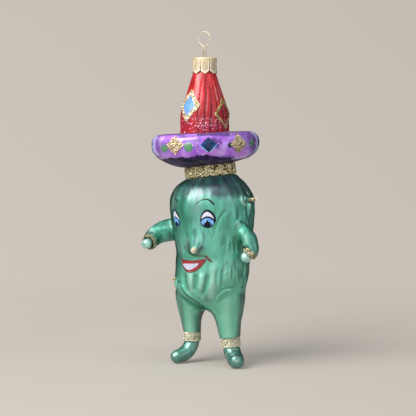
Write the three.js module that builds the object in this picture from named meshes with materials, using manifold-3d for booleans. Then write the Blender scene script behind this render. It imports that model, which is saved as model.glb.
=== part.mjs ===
// Cactus figure ornament in blown glass: a ribbed cactus with arms, legs and a
// round wide hat, hanging from a crimped metal cap and a spring wire loop.
// Units are millimetres and +Z is up. The origin is the inner crest of the wire
// loop, where a hook carries the ornament. The face looks along -Y, and +X is
// the figure's own left side.
//
// Angles round the figure are measured from the face (-Y) towards +X, so a
// point at angle a and radius r lies at (r sin a, -r cos a).

import * as THREE from 'three';
import { LoftGeometry } from 'three/addons/geometries/LoftGeometry.js';
import { mergeVertices } from 'three/addons/utils/BufferGeometryUtils.js';
import Module from 'manifold-3d';

const wasm = await Module();
wasm.setup();

// ---------------------------------------------------------------- dimensions
const GLASS_WALL = 1.0;        // wall of the large blown pieces
const LIMB_WALL = 0.9;         // wall of arms, legs and feet
const GAP = 0.3;               // clearance left at every cemented joint

const WIRE_R = 0.35;           // 0.7 mm spring wire
const LOOP_HALF_W = 3.3;       // loop half width at the wire's centre line
const WIRE_CROSS_Z = -7.4;     // where the two strands cross below the loop
const WIRE_CROSS_Y = 0.47;     // half distance between strands where they cross
const WIRE_TIP_X = 3.4;        // spread of the two spring legs at their tips
const WIRE_TIP_Z = -26.5;

const CAP_R = 6.0;             // 12 mm ornament cap
const CAP_WALL = 0.35;
const CAP_TOP_Z = -12.1;
const CAP_HOLE_R = 1.7;
const CAP_TABS = 8;            // pointed tabs round the skirt
const CAP_NOTCH_Z = -18.6;     // skirt edge between two tabs
const CAP_TIP_Z = -20.0;       // skirt edge at a tab's point

const NECK_R = 5.1;            // glass neck inside the cap
const NECK_BORE_R = 4.05;      // bore that takes the spring legs
const FLUTES = 22;             // vertical flutes round the crown
const FLUTE_DEPTH = 0.32;

const BRIM = { x: 0.5, z: -54.6, tilt: 2.8 };     // middle of the brim, degrees
const BRIM_R = 26.0;
const BAND = { x: 3.2, z: -67.1, tilt: 7.8 };     // middle of the hat band
const BAND_R = 12.1;
const BAND_HALF_H = 2.3;
const COLLAR_R = 11.0;         // body collar inside the hat band

// ------------------------------------------------------------------- helpers
const rad = ( d ) => d * Math.PI / 180;

// A ring round an axis that leans by tilt degrees in the XZ plane, with the +X
// side raised. r may be a number or a function of the angle.
function ring( x, z, tilt, r, n, y = 0 ) {

	const t = rad( tilt );
	const points = [];
	for ( let j = 0; j < n; j ++ ) {

		const a = j / n * Math.PI * 2;
		const rr = typeof r === 'function' ? r( a ) : r;
		const sx = rr * Math.sin( a );
		points.push( new THREE.Vector3( x + sx * Math.cos( t ), y - rr * Math.cos( a ), z + sx * Math.sin( t ) ) );

	}

	return points;

}

// A ring square to a curve's tangent. ref is a direction that no tangent of
// the same surface comes near, so that the rings don't twist.
const BACK = new THREE.Vector3( 0, 1, 0 );

function tubeRing( centre, tangent, r, n, ref = BACK ) {

	const u = new THREE.Vector3().crossVectors( ref, tangent ).normalize();
	const v = new THREE.Vector3().crossVectors( tangent, u ).normalize();
	const points = [];
	for ( let j = 0; j < n; j ++ ) {

		const a = j / n * Math.PI * 2;
		points.push( centre.clone().addScaledVector( u, r * Math.cos( a ) ).addScaledVector( v, r * Math.sin( a ) ) );

	}

	return points;

}

// Keep only positions, merge shared vertices and turn the faces outwards.
function clean( geometry ) {

	const bare = new THREE.BufferGeometry();
	bare.setAttribute( 'position', geometry.attributes.position );
	if ( geometry.index ) bare.setIndex( geometry.index );
	const merged = mergeVertices( bare, 1e-4 );
	const p = merged.attributes.position;
	const index = Array.from( merged.index.array );
	const faces = [];
	const a = new THREE.Vector3(), b = new THREE.Vector3(), c = new THREE.Vector3();
	let volume = 0;
	for ( let i = 0; i < index.length; i += 3 ) {

		const [ i0, i1, i2 ] = [ index[ i ], index[ i + 1 ], index[ i + 2 ] ];
		if ( i0 === i1 || i1 === i2 || i2 === i0 ) continue;
		faces.push( i0, i1, i2 );
		a.fromBufferAttribute( p, i0 ); b.fromBufferAttribute( p, i1 ); c.fromBufferAttribute( p, i2 );
		volume += a.dot( b.clone().cross( c ) );

	}

	if ( volume < 0 ) for ( let i = 0; i < faces.length; i += 3 ) [ faces[ i + 1 ], faces[ i + 2 ] ] = [ faces[ i + 2 ], faces[ i + 1 ] ];
	merged.setIndex( faces );
	return merged;

}

// A wall whose rows of rings run out, over a lip and back, with no closed end.
function openShell( rows ) {

	const n = rows[ 0 ].length;
	const sections = [];
	for ( let j = 0; j <= n; j ++ ) sections.push( rows.map( ( row ) => row[ j % n ] ) );
	return clean( new LoftGeometry( sections, { closed: true } ) );

}

// A row drawn together to its middle point, which closes a surface.
function pole( row ) {

	const c = row.reduce( ( sum, p ) => sum.add( p ), new THREE.Vector3() ).divideScalar( row.length );
	return row.map( () => c.clone() );

}

// A cup: rows run from the inside of the closed end, over the lip, to the
// outside of the closed end. Each end closes in a point.
function cupShell( rows ) {

	return clean( new LoftGeometry( [ pole( rows[ 0 ] ), ...rows, pole( rows[ rows.length - 1 ] ) ], { closed: true } ) );

}

function toSolid( geometry ) {

	return new wasm.Manifold( new wasm.Mesh( {
		numProp: 3,
		vertProperties: Float32Array.from( geometry.attributes.position.array ),
		triVerts: Uint32Array.from( geometry.index.array )
	} ) );

}

function toGeometry( solid ) {

	const m = solid.getMesh();
	const g = new THREE.BufferGeometry();
	g.setAttribute( 'position', new THREE.BufferAttribute( Float32Array.from( m.vertProperties ), 3 ) );
	g.setIndex( Array.from( m.triVerts ) );
	return g;

}

// Smooth curve through a table of [ position, value, value ... ] rows.
function smooth( table, x ) {

	const n = table.length;
	if ( ( x - table[ 0 ][ 0 ] ) * ( x - table[ n - 1 ][ 0 ] ) >= 0 )
		return ( Math.abs( x - table[ 0 ][ 0 ] ) < Math.abs( x - table[ n - 1 ][ 0 ] ) ? table[ 0 ] : table[ n - 1 ] ).slice( 1 );
	let i = 0;
	while ( ( x - table[ i ][ 0 ] ) * ( x - table[ i + 1 ][ 0 ] ) > 0 ) i ++;
	const t = ( x - table[ i ][ 0 ] ) / ( table[ i + 1 ][ 0 ] - table[ i ][ 0 ] );
	const p0 = table[ Math.max( i - 1, 0 ) ], p1 = table[ i ], p2 = table[ i + 1 ], p3 = table[ Math.min( i + 2, n - 1 ) ];
	const h = p2[ 0 ] - p1[ 0 ];
	return p1.slice( 1 ).map( ( v, k ) => {

		const m1 = ( p2[ k + 1 ] - p0[ k + 1 ] ) / ( p2[ 0 ] - p0[ 0 ] ) * h;
		const m2 = ( p3[ k + 1 ] - p1[ k + 1 ] ) / ( p3[ 0 ] - p1[ 0 ] ) * h;
		const t2 = t * t, t3 = t2 * t;
		return ( 2 * t3 - 3 * t2 + 1 ) * v + ( t3 - 2 * t2 + t ) * m1 + ( 3 * t2 - 2 * t3 ) * p2[ k + 1 ] + ( t3 - t2 ) * m2;

	} );

}

// ----------------------------------------------------------------- materials
const MATERIALS = {
	wire: { color: 0xc9b98a, roughness: 0.3, metalness: 1.0 },
	cap: { color: 0xcdb98b, roughness: 0.35, metalness: 1.0 },
	red: { color: 0xb23a42, roughness: 0.22, metalness: 0.75 },
	purple: { color: 0x9a6ac4, roughness: 0.2, metalness: 0.7 },
	green: { color: 0x5fa384, roughness: 0.3, metalness: 0.7 },
	glitter: { color: 0xb7a56c, roughness: 0.5, metalness: 0.9 },
	pearl: { color: 0xb5d6cf, roughness: 0.3, metalness: 0.4 }
};

const ornament = new THREE.Group();

function add( name, geometry, look ) {

	geometry.computeVertexNormals();
	const mesh = new THREE.Mesh( geometry, new THREE.MeshStandardMaterial( MATERIALS[ look ] ) );
	mesh.name = name;
	ornament.add( mesh );

}

// ------------------------------------------------- wire hanger (spring clip)
// One wire: up from one leg tip, across, round the loop and down to the other.
{

	const c = WIRE_CROSS_Y;
	const points = [
		[ - WIRE_TIP_X, 0.2, WIRE_TIP_Z ], [ - 2.75, 0.25, - 21 ], [ - 1.75, 0.3, - 15.5 ], [ - 1.12, 0.35, - 12.3 ], [ - 0.72, c, - 9.6 ],
		[ 0, c, WIRE_CROSS_Z ], [ 1.6, 0.36, - 6.35 ], [ 2.9, 0.2, - 4.9 ], [ LOOP_HALF_W, 0.1, - 3.1 ], [ 2.6, 0.03, - 0.95 ],
		[ 0, 0, WIRE_R ],
		[ - 2.6, - 0.03, - 0.95 ], [ - LOOP_HALF_W, - 0.1, - 3.1 ], [ - 2.9, - 0.2, - 4.9 ], [ - 1.6, - 0.36, - 6.35 ], [ 0, - c, WIRE_CROSS_Z ],
		[ 0.72, - c, - 9.6 ], [ 1.12, - 0.35, - 12.3 ], [ 1.75, - 0.3, - 15.5 ], [ 2.75, - 0.25, - 21 ], [ WIRE_TIP_X, - 0.2, WIRE_TIP_Z ]
	].map( ( p ) => new THREE.Vector3( ...p ) );
	const path = new THREE.CatmullRomCurve3( points, false, 'centripetal' );
	const section = new THREE.Shape();
	for ( let k = 0; k < 8; k ++ ) {

		const a = ( k + 0.5 ) / 8 * Math.PI * 2;
		section[ k === 0 ? 'moveTo' : 'lineTo' ]( WIRE_R * Math.cos( a ), WIRE_R * Math.sin( a ) );

	}

	section.closePath();
	add( 'hanger_wire', clean( new THREE.ExtrudeGeometry( section, { steps: 64, extrudePath: path, bevelEnabled: false } ) ), 'wire' );

}

// ---------------------------------------------------------- crimped metal cap
// Walls follow a closed profile swept round the axis; the skirt's lower edge
// rises and falls into eight pointed tabs.
{

	const n = CAP_TABS * 6;
	const sections = [];
	for ( let j = 0; j <= n; j ++ ) {

		const k = j % n;
		const a = k / n * Math.PI * 2;
		const phase = ( k / n * CAP_TABS ) % 1;
		const peak = 1 - Math.abs( phase - 0.5 ) * 2;
		const zEdge = CAP_NOTCH_Z + ( CAP_TIP_Z - CAP_NOTCH_Z ) * Math.pow( peak, 1.2 );
		const flare = 0.12;
		const profile = [
			[ CAP_HOLE_R, CAP_TOP_Z ], [ CAP_R - 0.8, CAP_TOP_Z ], [ CAP_R - 0.2, CAP_TOP_Z - 0.25 ], [ CAP_R, CAP_TOP_Z - 0.9 ],
			[ CAP_R + flare, zEdge ], [ CAP_R + flare - CAP_WALL, zEdge ],
			[ CAP_R - CAP_WALL, CAP_TOP_Z - 0.9 ], [ CAP_R - 0.8, CAP_TOP_Z - CAP_WALL ], [ CAP_HOLE_R, CAP_TOP_Z - CAP_WALL ]
		];
		sections.push( profile.map( ( [ r, z ] ) => new THREE.Vector3( r * Math.sin( a ), - r * Math.cos( a ), z ) ) );

	}

	add( 'cap', clean( new LoftGeometry( sections, { closed: true } ) ), 'cap' );

}

// ----------------------------------------------------------------- hat crown
// Fluted dome, open at the neck and at its foot on the brim.
const brimRow = ( h, r, n ) => {

	const t = rad( BRIM.tilt );
	return ring( BRIM.x - Math.sin( t ) * h, BRIM.z + Math.cos( t ) * h, BRIM.tilt, r, n );

};

{

	const n = FLUTES * 4;
	const outer = [
		// z, radius, flute share
		[ - 12.75, NECK_R, 0 ], [ - 18.9, NECK_R + 0.05, 0 ], [ - 20.4, 5.75, 0.1 ], [ - 22.8, 6.6, 0.5 ], [ - 25.7, 7.4, 1 ],
		[ - 31.7, 9.4, 1 ], [ - 34.9, 10.5, 1 ], [ - 38.2, 11.35, 1 ], [ - 42.5, 11.75, 1 ]
	];
	const fluted = ( r, f ) => ( a ) => r + FLUTE_DEPTH * f * Math.cos( FLUTES * a ) * 0.5;
	const rows = outer.map( ( [ z, r, f ] ) => ring( 0.02 * ( - z - 12 ) / 36, z, BRIM.tilt * Math.max( 0, ( - z - 20 ) / 28.4 ), fluted( r, f ), n ) );
	const t = rad( BRIM.tilt );
	const foot = BRIM.z + Math.cos( t ) * 6.2;
	rows.push( ring( BRIM.x - Math.sin( t ) * 6.2, foot, BRIM.tilt, fluted( 11.9, 1 ), n ) );
	rows.push( ring( BRIM.x - Math.sin( t ) * 6.2, foot, BRIM.tilt, 10.6, n ) );
	for ( const [ z, r ] of [ [ - 38, 10.1 ], [ - 27, 6.6 ], [ - 20.5, NECK_BORE_R ], [ - 12.75, NECK_BORE_R ] ] )
		rows.push( ring( 0.02, z, BRIM.tilt * Math.max( 0, ( - z - 20 ) / 28.4 ), r, n ) );
	add( 'hat_crown', openShell( rows ), 'red' );

}

// ------------------------------------------------------------------ hat brim
// Puffy hollow ring: flat above, rounded at the rim and bowl shaped below, down
// to the opening over the hat band.
{

	const n = 48;
	const tb = rad( BAND.tilt );
	const lip = ( h, r ) => ring( BAND.x - Math.sin( tb ) * h, BAND.z + Math.cos( tb ) * h, BAND.tilt, r, n );
	const rows = [
		brimRow( 5.85, 9.4, n ), brimRow( 5.9, 16, n ), brimRow( 5.9, 22.2, n ), brimRow( 5.3, 24.1, n ), brimRow( 3.8, 25.4, n ),
		brimRow( 1.6, BRIM_R, n ), brimRow( - 0.8, BRIM_R, n ), brimRow( - 3.0, 25.4, n ), brimRow( - 5.0, 23.9, n ), brimRow( - 7.0, 21.0, n ), brimRow( - 8.5, 17.6, n ),
		lip( BAND_HALF_H + GAP, 12.0 ), lip( BAND_HALF_H + GAP, 11.0 ),
		brimRow( - 7.4, 16.9, n ), brimRow( - 4.4, 22.8, n ), brimRow( - 0.6, 24.9, n ), brimRow( 3.2, 24.4, n ), brimRow( 4.9, 21.9, n ), brimRow( 4.85, 9.4, n )
	];
	add( 'hat_brim', openShell( rows ), 'purple' );

}

// --------------------------------------------------- ring for a glitter band
function bandRing( x, y, z, axis, rOut, rIn, halfH, n ) {

	const dir = axis.clone().normalize();
	const c = new THREE.Vector3( x, y, z );
	const at = ( h ) => c.clone().addScaledVector( dir, h );
	const b = Math.min( 0.3, halfH * 0.4 );
	const profile = [ [ - halfH, rIn ], [ - halfH, rOut - b ], [ - halfH + b, rOut ], [ halfH - b, rOut ], [ halfH, rOut - b ], [ halfH, rIn ] ];
	const ref = Math.abs( dir.y ) > 0.7 ? new THREE.Vector3( 1, 0, 0 ) : BACK;
	const rows = profile.map( ( [ h, r ] ) => tubeRing( at( h ), dir, r, n, ref ) );
	return openShell( rows );

}

const bandAxis = new THREE.Vector3( - Math.sin( rad( BAND.tilt ) ), 0, Math.cos( rad( BAND.tilt ) ) );
add( 'hat_band', bandRing( BAND.x, 0, BAND.z, bandAxis, BAND_R, COLLAR_R + 0.35, BAND_HALF_H, 42 ), 'glitter' );

// --------------------------------------------------------------- cactus body
// Rows: z, centre x, radius, tilt. A collar goes up through the hat band; the
// body swells to the head, narrows at the mouth and closes in a point between
// the legs.
const BODY = [
	[ - 70.3, 3.75, 12.7, 6.5 ], [ - 71.8, 3.95, 15.0, 5 ], [ - 74.0, 4.05, 17.4, 3.5 ], [ - 77.0, 4.2, 19.15, 2 ], [ - 80.0, 4.35, 20.3, 1 ],
	[ - 84.3, 4.5, 20.7, 0 ], [ - 90.2, 4.85, 20.35, 0 ], [ - 96.1, 4.85, 19.7, 0 ], [ - 102.0, 4.9, 18.65, 0 ], [ - 107.0, 5.1, 17.9, 0 ],
	[ - 111.0, 4.95, 18.0, 0 ], [ - 116.0, 4.45, 18.0, 0 ], [ - 120.0, 4.1, 17.9, 0 ], [ - 123.5, 3.6, 17.2, 0 ], [ - 127.0, 3.2, 15.4, 0 ],
	[ - 130.0, 3.1, 12.4, 0 ], [ - 132.6, 3.1, 8.6, 0 ], [ - 134.5, 3.1, 4.4, 0 ], [ - 135.3, 3.1, 0.8, 0 ]
];
const NOSE_ANGLE = rad( 8.5 );
const NOSE_Z = - 102.2;

function bodyRing( z, grow, n ) {

	const [ x, r, tilt ] = smooth( BODY, z );
	// drooping nose bump on the front, widest near its tip
	return ring( x, z, tilt, ( a ) => {

		let d = Math.atan2( Math.sin( a - NOSE_ANGLE ), Math.cos( a - NOSE_ANGLE ) );
		const along = z > NOSE_Z ? Math.exp( - Math.pow( ( z - NOSE_Z ) / 6.5, 2 ) ) : Math.exp( - Math.pow( ( z - NOSE_Z ) / 2.4, 2 ) );
		const bump = grow > - 0.5 ? 4.2 * along * Math.exp( - Math.pow( d / 0.17, 2 ) ) : 0;
		return Math.max( 0.3, r + grow ) + bump;

	}, n );

}

const BODY_SIDES = 42;
const collar = ( h, r ) => ring( BAND.x - Math.sin( rad( BAND.tilt ) ) * h, BAND.z + Math.cos( rad( BAND.tilt ) ) * h, BAND.tilt, r, BODY_SIDES );
const bodyOuterZ = [ - 70.3, - 71.8, - 74, - 77, - 80, - 84.3, - 90.2, - 94.5, - 98, - 100.6, - 102.6, - 104.6, - 107, - 111, - 116, - 120, - 123.5, - 127, - 130, - 132.6, - 134.5, - 135.3 ];
{

	const rows = [];
	for ( const z of [ - 134.1, - 131.5, - 127, - 121, - 106, - 84, - 78, - 74.5 ] ) rows.push( bodyRing( z, - GLASS_WALL, BODY_SIDES ) );
	rows.push( collar( - 4.6, COLLAR_R - 0.5 ), collar( - 2.6, COLLAR_R - GLASS_WALL ), collar( BAND_HALF_H, COLLAR_R - GLASS_WALL ) );
	rows.push( collar( BAND_HALF_H, COLLAR_R ), collar( - BAND_HALF_H - GAP, COLLAR_R ) );
	for ( const z of bodyOuterZ ) rows.push( bodyRing( z, 0, BODY_SIDES ) );
	add( 'body_shell', cupShell( rows ), 'green' );

}

// The same outside, grown by the joint clearance and filled, trims the limbs.
const bodyTrim = toSolid( cupShell( [ ring( 3.6, - 69.9, 7, 12.6, BODY_SIDES ), ...bodyOuterZ.map( ( z ) => bodyRing( z, GAP, BODY_SIDES ) ), bodyRing( - 135.65, - 0.3, BODY_SIDES ) ] ) );

// --------------------------------------------------------------------- limbs
// Each limb is a row of [ x, y, z, radius ] along its middle, from inside the
// body to its end.
function sampleLimb( points, count ) {

	const curve = new THREE.CatmullRomCurve3( points.map( ( p ) => new THREE.Vector3( p[ 0 ], p[ 1 ], p[ 2 ] ) ), false, 'centripetal' );
	const radii = points.map( ( p, i ) => [ i / ( points.length - 1 ), p[ 3 ] ] );
	const out = [];
	for ( let i = 0; i <= count; i ++ ) {

		const t = i / count;
		out.push( { c: curve.getPoint( t ), d: curve.getTangent( t ), r: smooth( radii, t )[ 0 ] } );

	}

	return out;

}

// Direction square to the plane in which a limb bends.
function bendAxis( s ) {

	const axis = new THREE.Vector3().crossVectors( s[ 0 ].d, s[ s.length - 1 ].d );
	return axis.length() > 0.2 ? axis.normalize() : BACK;

}

// Limb tube, open at its far end, trimmed to the body at its root. endDir
// squares its last ring to the band that follows.
function limb( points, wall, sides, count, endDir ) {

	const s = sampleLimb( points, count );
	if ( endDir ) s[ s.length - 1 ].d = endDir;
	const ref = bendAxis( s );
	const rows = s.map( ( q ) => tubeRing( q.c, q.d, q.r, sides, ref ) );
	for ( let i = s.length - 1; i >= 0; i -- ) rows.push( tubeRing( s[ i ].c, s[ i ].d, s[ i ].r - wall, sides, ref ) );
	const solid = toSolid( openShell( rows ) ).subtract( bodyTrim );
	const parts = solid.decompose().sort( ( a, b ) => b.volume() - a.volume() );
	return { geometry: toGeometry( parts[ 0 ] ), end: s[ s.length - 1 ] };

}

const ARM_RIGHT = [ [ - 9, 1.9, - 96.4, 5.6 ], [ - 14.5, 2.0, - 96.8, 5.75 ], [ - 19.8, 1.4, - 97.3, 5.65 ], [ - 24.7, 0.5, - 98.5, 5.35 ], [ - 27.2, - 1.75, - 100.1, 4.85 ], [ - 27.35, - 5.3, - 101.7, 4.25 ], [ - 25.75, - 9.45, - 102.6, 3.75 ] ];
const ARM_LEFT = [ [ 13.4, - 1.7, - 92.5, 3.7 ], [ 19.2, - 3.4, - 93.9, 3.8 ], [ 23.9, - 3.9, - 95.8, 3.9 ], [ 26.9, - 3.4, - 98.5, 3.9 ], [ 28.3, - 3.5, - 101.5, 3.7 ], [ 29.5, - 3.94, - 104.22, 3.35 ] ];
const LEG_RIGHT = [ [ - 4.5, 0.9, - 118.5, 7.0 ], [ - 6.6, 1.1, - 123.3, 8.1 ], [ - 8.3, 1.2, - 128.3, 8.0 ], [ - 8.5, 1.2, - 134.3, 7.1 ], [ - 8.6, 1.3, - 141.6, 5.2 ], [ - 8.2, 1.5, - 147.4, 4.25 ] ];
const LEG_LEFT = [ [ 10.2, 0.5, - 117.5, 7.0 ], [ 12.0, 0.7, - 122.6, 8.2 ], [ 12.85, 0.95, - 127.0, 8.5 ], [ 13.0, 1.1, - 135.5, 7.4 ], [ 13.2, 1.2, - 141.6, 6.1 ], [ 13.8, 1.5, - 148.2, 5.1 ] ];
// dir: the wrist bends away from the line of the arm
const WRIST_RIGHT = { halfH: 0.45, ball: 2.5, ballAt: 2.8, spigot: 2.1, depth: 1.2, dir: [ - 0.011, - 0.961, - 0.277 ] };
const WRIST_LEFT = { halfH: 1.2, ball: 2.65, ballAt: 4.09, spigot: 1.8, depth: 0.7, dir: [ - 0.561, - 0.35, - 0.75 ] };

// Hand: a round bead with a short spigot that plugs into the wrist, turned
// about its own axis and then laid along the arm.
function handGeometry( ball, ballAt, spigotR, depth ) {

	const profile = [ new THREE.Vector2( 0, - depth ), new THREE.Vector2( spigotR, - depth ) ];
	const start = Math.asin( spigotR / ball );
	profile.push( new THREE.Vector2( spigotR, ballAt - Math.cos( start ) * ball ) );
	for ( let k = 1; k <= 7; k ++ ) {

		const a = start + ( Math.PI - start ) * k / 8;
		profile.push( new THREE.Vector2( ball * Math.sin( a ), ballAt - ball * Math.cos( a ) ) );

	}

	profile.push( new THREE.Vector2( 0, ballAt + ball ) );
	return clean( new THREE.LatheGeometry( profile, 16 ) );

}

function addArm( side, points, wrist, ringOut ) {

	const { geometry, end } = limb( points, LIMB_WALL, 16, 9, new THREE.Vector3( ...wrist.dir ).normalize() );
	add( `arm_${ side }`, geometry, 'green' );
	const dir = end.d.clone().normalize();
	const spigotR = wrist.spigot;
	const mid = end.c.clone().addScaledVector( dir, GAP + wrist.halfH );
	add( `wrist_band_${ side }`, bandRing( mid.x, mid.y, mid.z, dir, ringOut, spigotR + GAP, wrist.halfH, 18 ), 'glitter' );
	const hand = handGeometry( wrist.ball, wrist.ballAt + GAP, spigotR, wrist.depth );
	hand.applyQuaternion( new THREE.Quaternion().setFromUnitVectors( new THREE.Vector3( 0, 1, 0 ), dir ) );
	hand.translate( end.c.x, end.c.y, end.c.z );
	add( `hand_${ side }`, hand, 'pearl' );

}

addArm( 'right', ARM_RIGHT, WRIST_RIGHT, 3.85 );
addArm( 'left', ARM_LEFT, WRIST_LEFT, 3.55 );

// Feet: bent tubes with a closed round toe. Their open tops plug through the
// ankle bands into the legs.
const FOOT_RIGHT = [ [ - 8.2, 1.45, - 151.9, 3.6 ], [ - 8.35, 1.1, - 153.9, 3.65 ], [ - 9.2, - 1.1, - 156.9, 3.6 ], [ - 10.6, - 4.2, - 158.7, 3.4 ], [ - 12.0, - 7.1, - 159.45, 3.0 ], [ - 12.75, - 8.7, - 159.7, 2.1 ], [ - 13.1, - 9.5, - 159.9, 0.7 ] ];
const FOOT_LEFT = [ [ 14.3, 1.75, - 153.0, 3.95 ], [ 14.8, 1.45, - 154.8, 4.1 ], [ 16.8, 0.0, - 157.2, 4.2 ], [ 19.2, - 2.0, - 158.6, 4.05 ], [ 20.9, - 3.5, - 159.3, 3.4 ], [ 21.9, - 4.3, - 159.7, 2.2 ], [ 22.4, - 4.75, - 159.9, 0.7 ] ];

function addLeg( side, legPoints, footPoints, bandOut, spigotR ) {

	const foot = sampleLimb( footPoints, 11 );
	const top = foot[ 0 ].c.clone();
	const axis = new THREE.Vector3( ...legPoints[ legPoints.length - 1 ].slice( 0, 3 ) ).sub( top ).normalize();
	const { geometry, end } = limb( legPoints, LIMB_WALL, 18, 8, axis.clone().negate() );
	add( `leg_${ side }`, geometry, 'green' );
	const clear = end.c.distanceTo( top ) - 2 * GAP;
	const mid = top.clone().addScaledVector( axis, GAP + clear / 2 );
	add( `ankle_band_${ side }`, bandRing( mid.x, mid.y, mid.z, axis, bandOut, spigotR + GAP, clear / 2, 20 ), 'glitter' );
	const n = 16;
	const rows = [];
	const inside = sampleLimb( footPoints, 7 ).slice( 1, 6 ).reverse();
	const ref = bendAxis( foot );
	rows.push( tubeRing( inside[ 0 ].c, inside[ 0 ].d, 0.6, n, ref ) );
	for ( const q of inside ) rows.push( tubeRing( q.c, q.d, Math.max( q.r - LIMB_WALL, 0.8 ), n, ref ) );
	const down = axis.clone().negate();
	const spigotTop = end.c.clone().addScaledVector( axis, 1.3 );
	rows.push( tubeRing( top, down, spigotR - 0.7, n, ref ), tubeRing( spigotTop, down, spigotR - 0.7, n, ref ), tubeRing( spigotTop, down, spigotR, n, ref ), tubeRing( top, down, spigotR, n, ref ) );
	for ( const q of foot ) rows.push( tubeRing( q.c, q === foot[ 0 ] ? down : q.d, q.r, n, ref ) );
	add( `foot_${ side }`, cupShell( rows ), 'green' );

}

addLeg( 'right', LEG_RIGHT, FOOT_RIGHT, 4.35, 2.9 );
addLeg( 'left', LEG_LEFT, FOOT_LEFT, 4.75, 3.2 );

// -------------------------------------------------------------------- spines
// Small cones on the head, the hip and the nose, trimmed to the body.
function addSpine( name, angle, z, r0, r1, base ) {

	const [ x ] = smooth( BODY, z );
	const a = rad( angle );
	const dir = new THREE.Vector3( Math.sin( a ), - Math.cos( a ), 0.12 ).normalize();
	const from = new THREE.Vector3( x, 0, z ).addScaledVector( dir, r0 );
	const length = r1 - r0;
	const profile = [ [ 0, 0 ], [ base, 0 ], [ base * 0.8, length * 0.4 ], [ base * 0.42, length * 0.72 ], [ 0.22, length * 0.96 ], [ 0, length ] ];
	const cone = clean( new THREE.LatheGeometry( profile.map( ( p ) => new THREE.Vector2( ...p ) ), 14 ) );
	cone.applyQuaternion( new THREE.Quaternion().setFromUnitVectors( new THREE.Vector3( 0, 1, 0 ), dir ) );
	cone.translate( from.x, from.y, from.z );
	const parts = toSolid( cone ).subtract( bodyTrim ).decompose().sort( ( p, q ) => q.volume() - p.volume() );
	add( name, toGeometry( parts[ 0 ] ), 'glitter' );

}

addSpine( 'spine_head_left', 92, - 82.9, 18.9, 24.75, 1.8 );
addSpine( 'spine_hip_right', - 43, - 121.9, 15.5, 20.4, 1.6 );
addSpine( 'spine_nose', 9.3, - 103.9, 19.0, 24.2, 1.9 );

export default ornament;
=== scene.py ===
import math

import bpy
import numpy as np
from mathutils import Matrix, Vector


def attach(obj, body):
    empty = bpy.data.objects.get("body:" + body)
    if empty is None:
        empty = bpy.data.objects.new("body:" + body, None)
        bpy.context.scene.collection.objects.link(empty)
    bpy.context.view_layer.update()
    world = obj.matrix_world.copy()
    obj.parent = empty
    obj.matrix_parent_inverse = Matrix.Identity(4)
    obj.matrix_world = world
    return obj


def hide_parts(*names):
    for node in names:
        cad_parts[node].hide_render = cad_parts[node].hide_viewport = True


# The lengths below are in millimetres, in the row frame, and go to metres when
# a mesh is made. Angles round the figure start at its face (-Y) and grow
# towards +X.
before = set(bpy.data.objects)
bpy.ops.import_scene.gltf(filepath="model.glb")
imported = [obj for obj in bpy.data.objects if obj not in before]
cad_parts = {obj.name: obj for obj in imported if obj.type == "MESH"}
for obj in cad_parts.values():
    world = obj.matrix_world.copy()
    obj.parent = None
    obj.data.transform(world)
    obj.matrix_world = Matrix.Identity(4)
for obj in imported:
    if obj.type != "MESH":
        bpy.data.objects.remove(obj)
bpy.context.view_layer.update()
scene = bpy.context.scene
MM = 0.001
TAU = 2 * math.pi


# ------------------------------------------------------------------- camera
AZ, EL, FPX = math.radians(32.0), math.radians(4.9), 1500.0
CAM = np.array([389.50714, -620.13754, -22.72007])
RIGHT = np.array([math.cos(AZ), math.sin(AZ), 0.0])
TOWARD = np.array([math.sin(AZ), -math.cos(AZ), 0.0])
FWD = -np.array([math.sin(AZ) * math.cos(EL), -math.cos(AZ) * math.cos(EL), math.sin(EL)])
UP = np.cross(RIGHT, FWD)

cam_data = bpy.data.cameras.new("camera")
cam_data.sensor_width = 36.0
cam_data.lens = 36.0 * FPX / 416.0
cam_data.clip_start, cam_data.clip_end = 0.01, 50.0
camera = bpy.data.objects.new("camera", cam_data)
scene.collection.objects.link(camera)
camera.matrix_world = Matrix(
    [
        [RIGHT[0], UP[0], -FWD[0], CAM[0] * MM],
        [RIGHT[1], UP[1], -FWD[1], CAM[1] * MM],
        [RIGHT[2], UP[2], -FWD[2], CAM[2] * MM],
        [0, 0, 0, 1],
    ]
)
scene.camera = camera
scene.view_settings.view_transform = "Standard"


def proj(p):
    d = np.asarray(p, float) - CAM
    f = d @ FWD
    return np.stack([208 + FPX * (d @ RIGHT) / f, 208 - FPX * (d @ UP) / f], -1)


# ------------------------------------------------------------ number helpers
def smooth(table, x):
    """Smooth curve through rows of [position, value, value ...]."""
    t = np.array(table, float)
    if t[0, 0] > t[-1, 0]:
        t = t[::-1]
    xs, y = t[:, 0], t[:, 1:]
    m = np.empty_like(y)
    m[1:-1] = (y[2:] - y[:-2]) / (xs[2:] - xs[:-2])[:, None]
    m[0] = (y[1] - y[0]) / (xs[1] - xs[0])
    m[-1] = (y[-1] - y[-2]) / (xs[-1] - xs[-2])
    x = np.clip(np.asarray(x, float), xs[0], xs[-1])
    i = np.clip(np.searchsorted(xs, x, side="right") - 1, 0, len(xs) - 2)
    h = xs[i + 1] - xs[i]
    u = ((x - xs[i]) / h)[..., None]
    h = h[..., None]
    u2, u3 = u * u, u * u * u
    return (2 * u3 - 3 * u2 + 1) * y[i] + (u3 - 2 * u2 + u) * m[i] * h + (3 * u2 - 2 * u3) * y[i + 1] + (u3 - u2) * m[i + 1] * h


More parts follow.
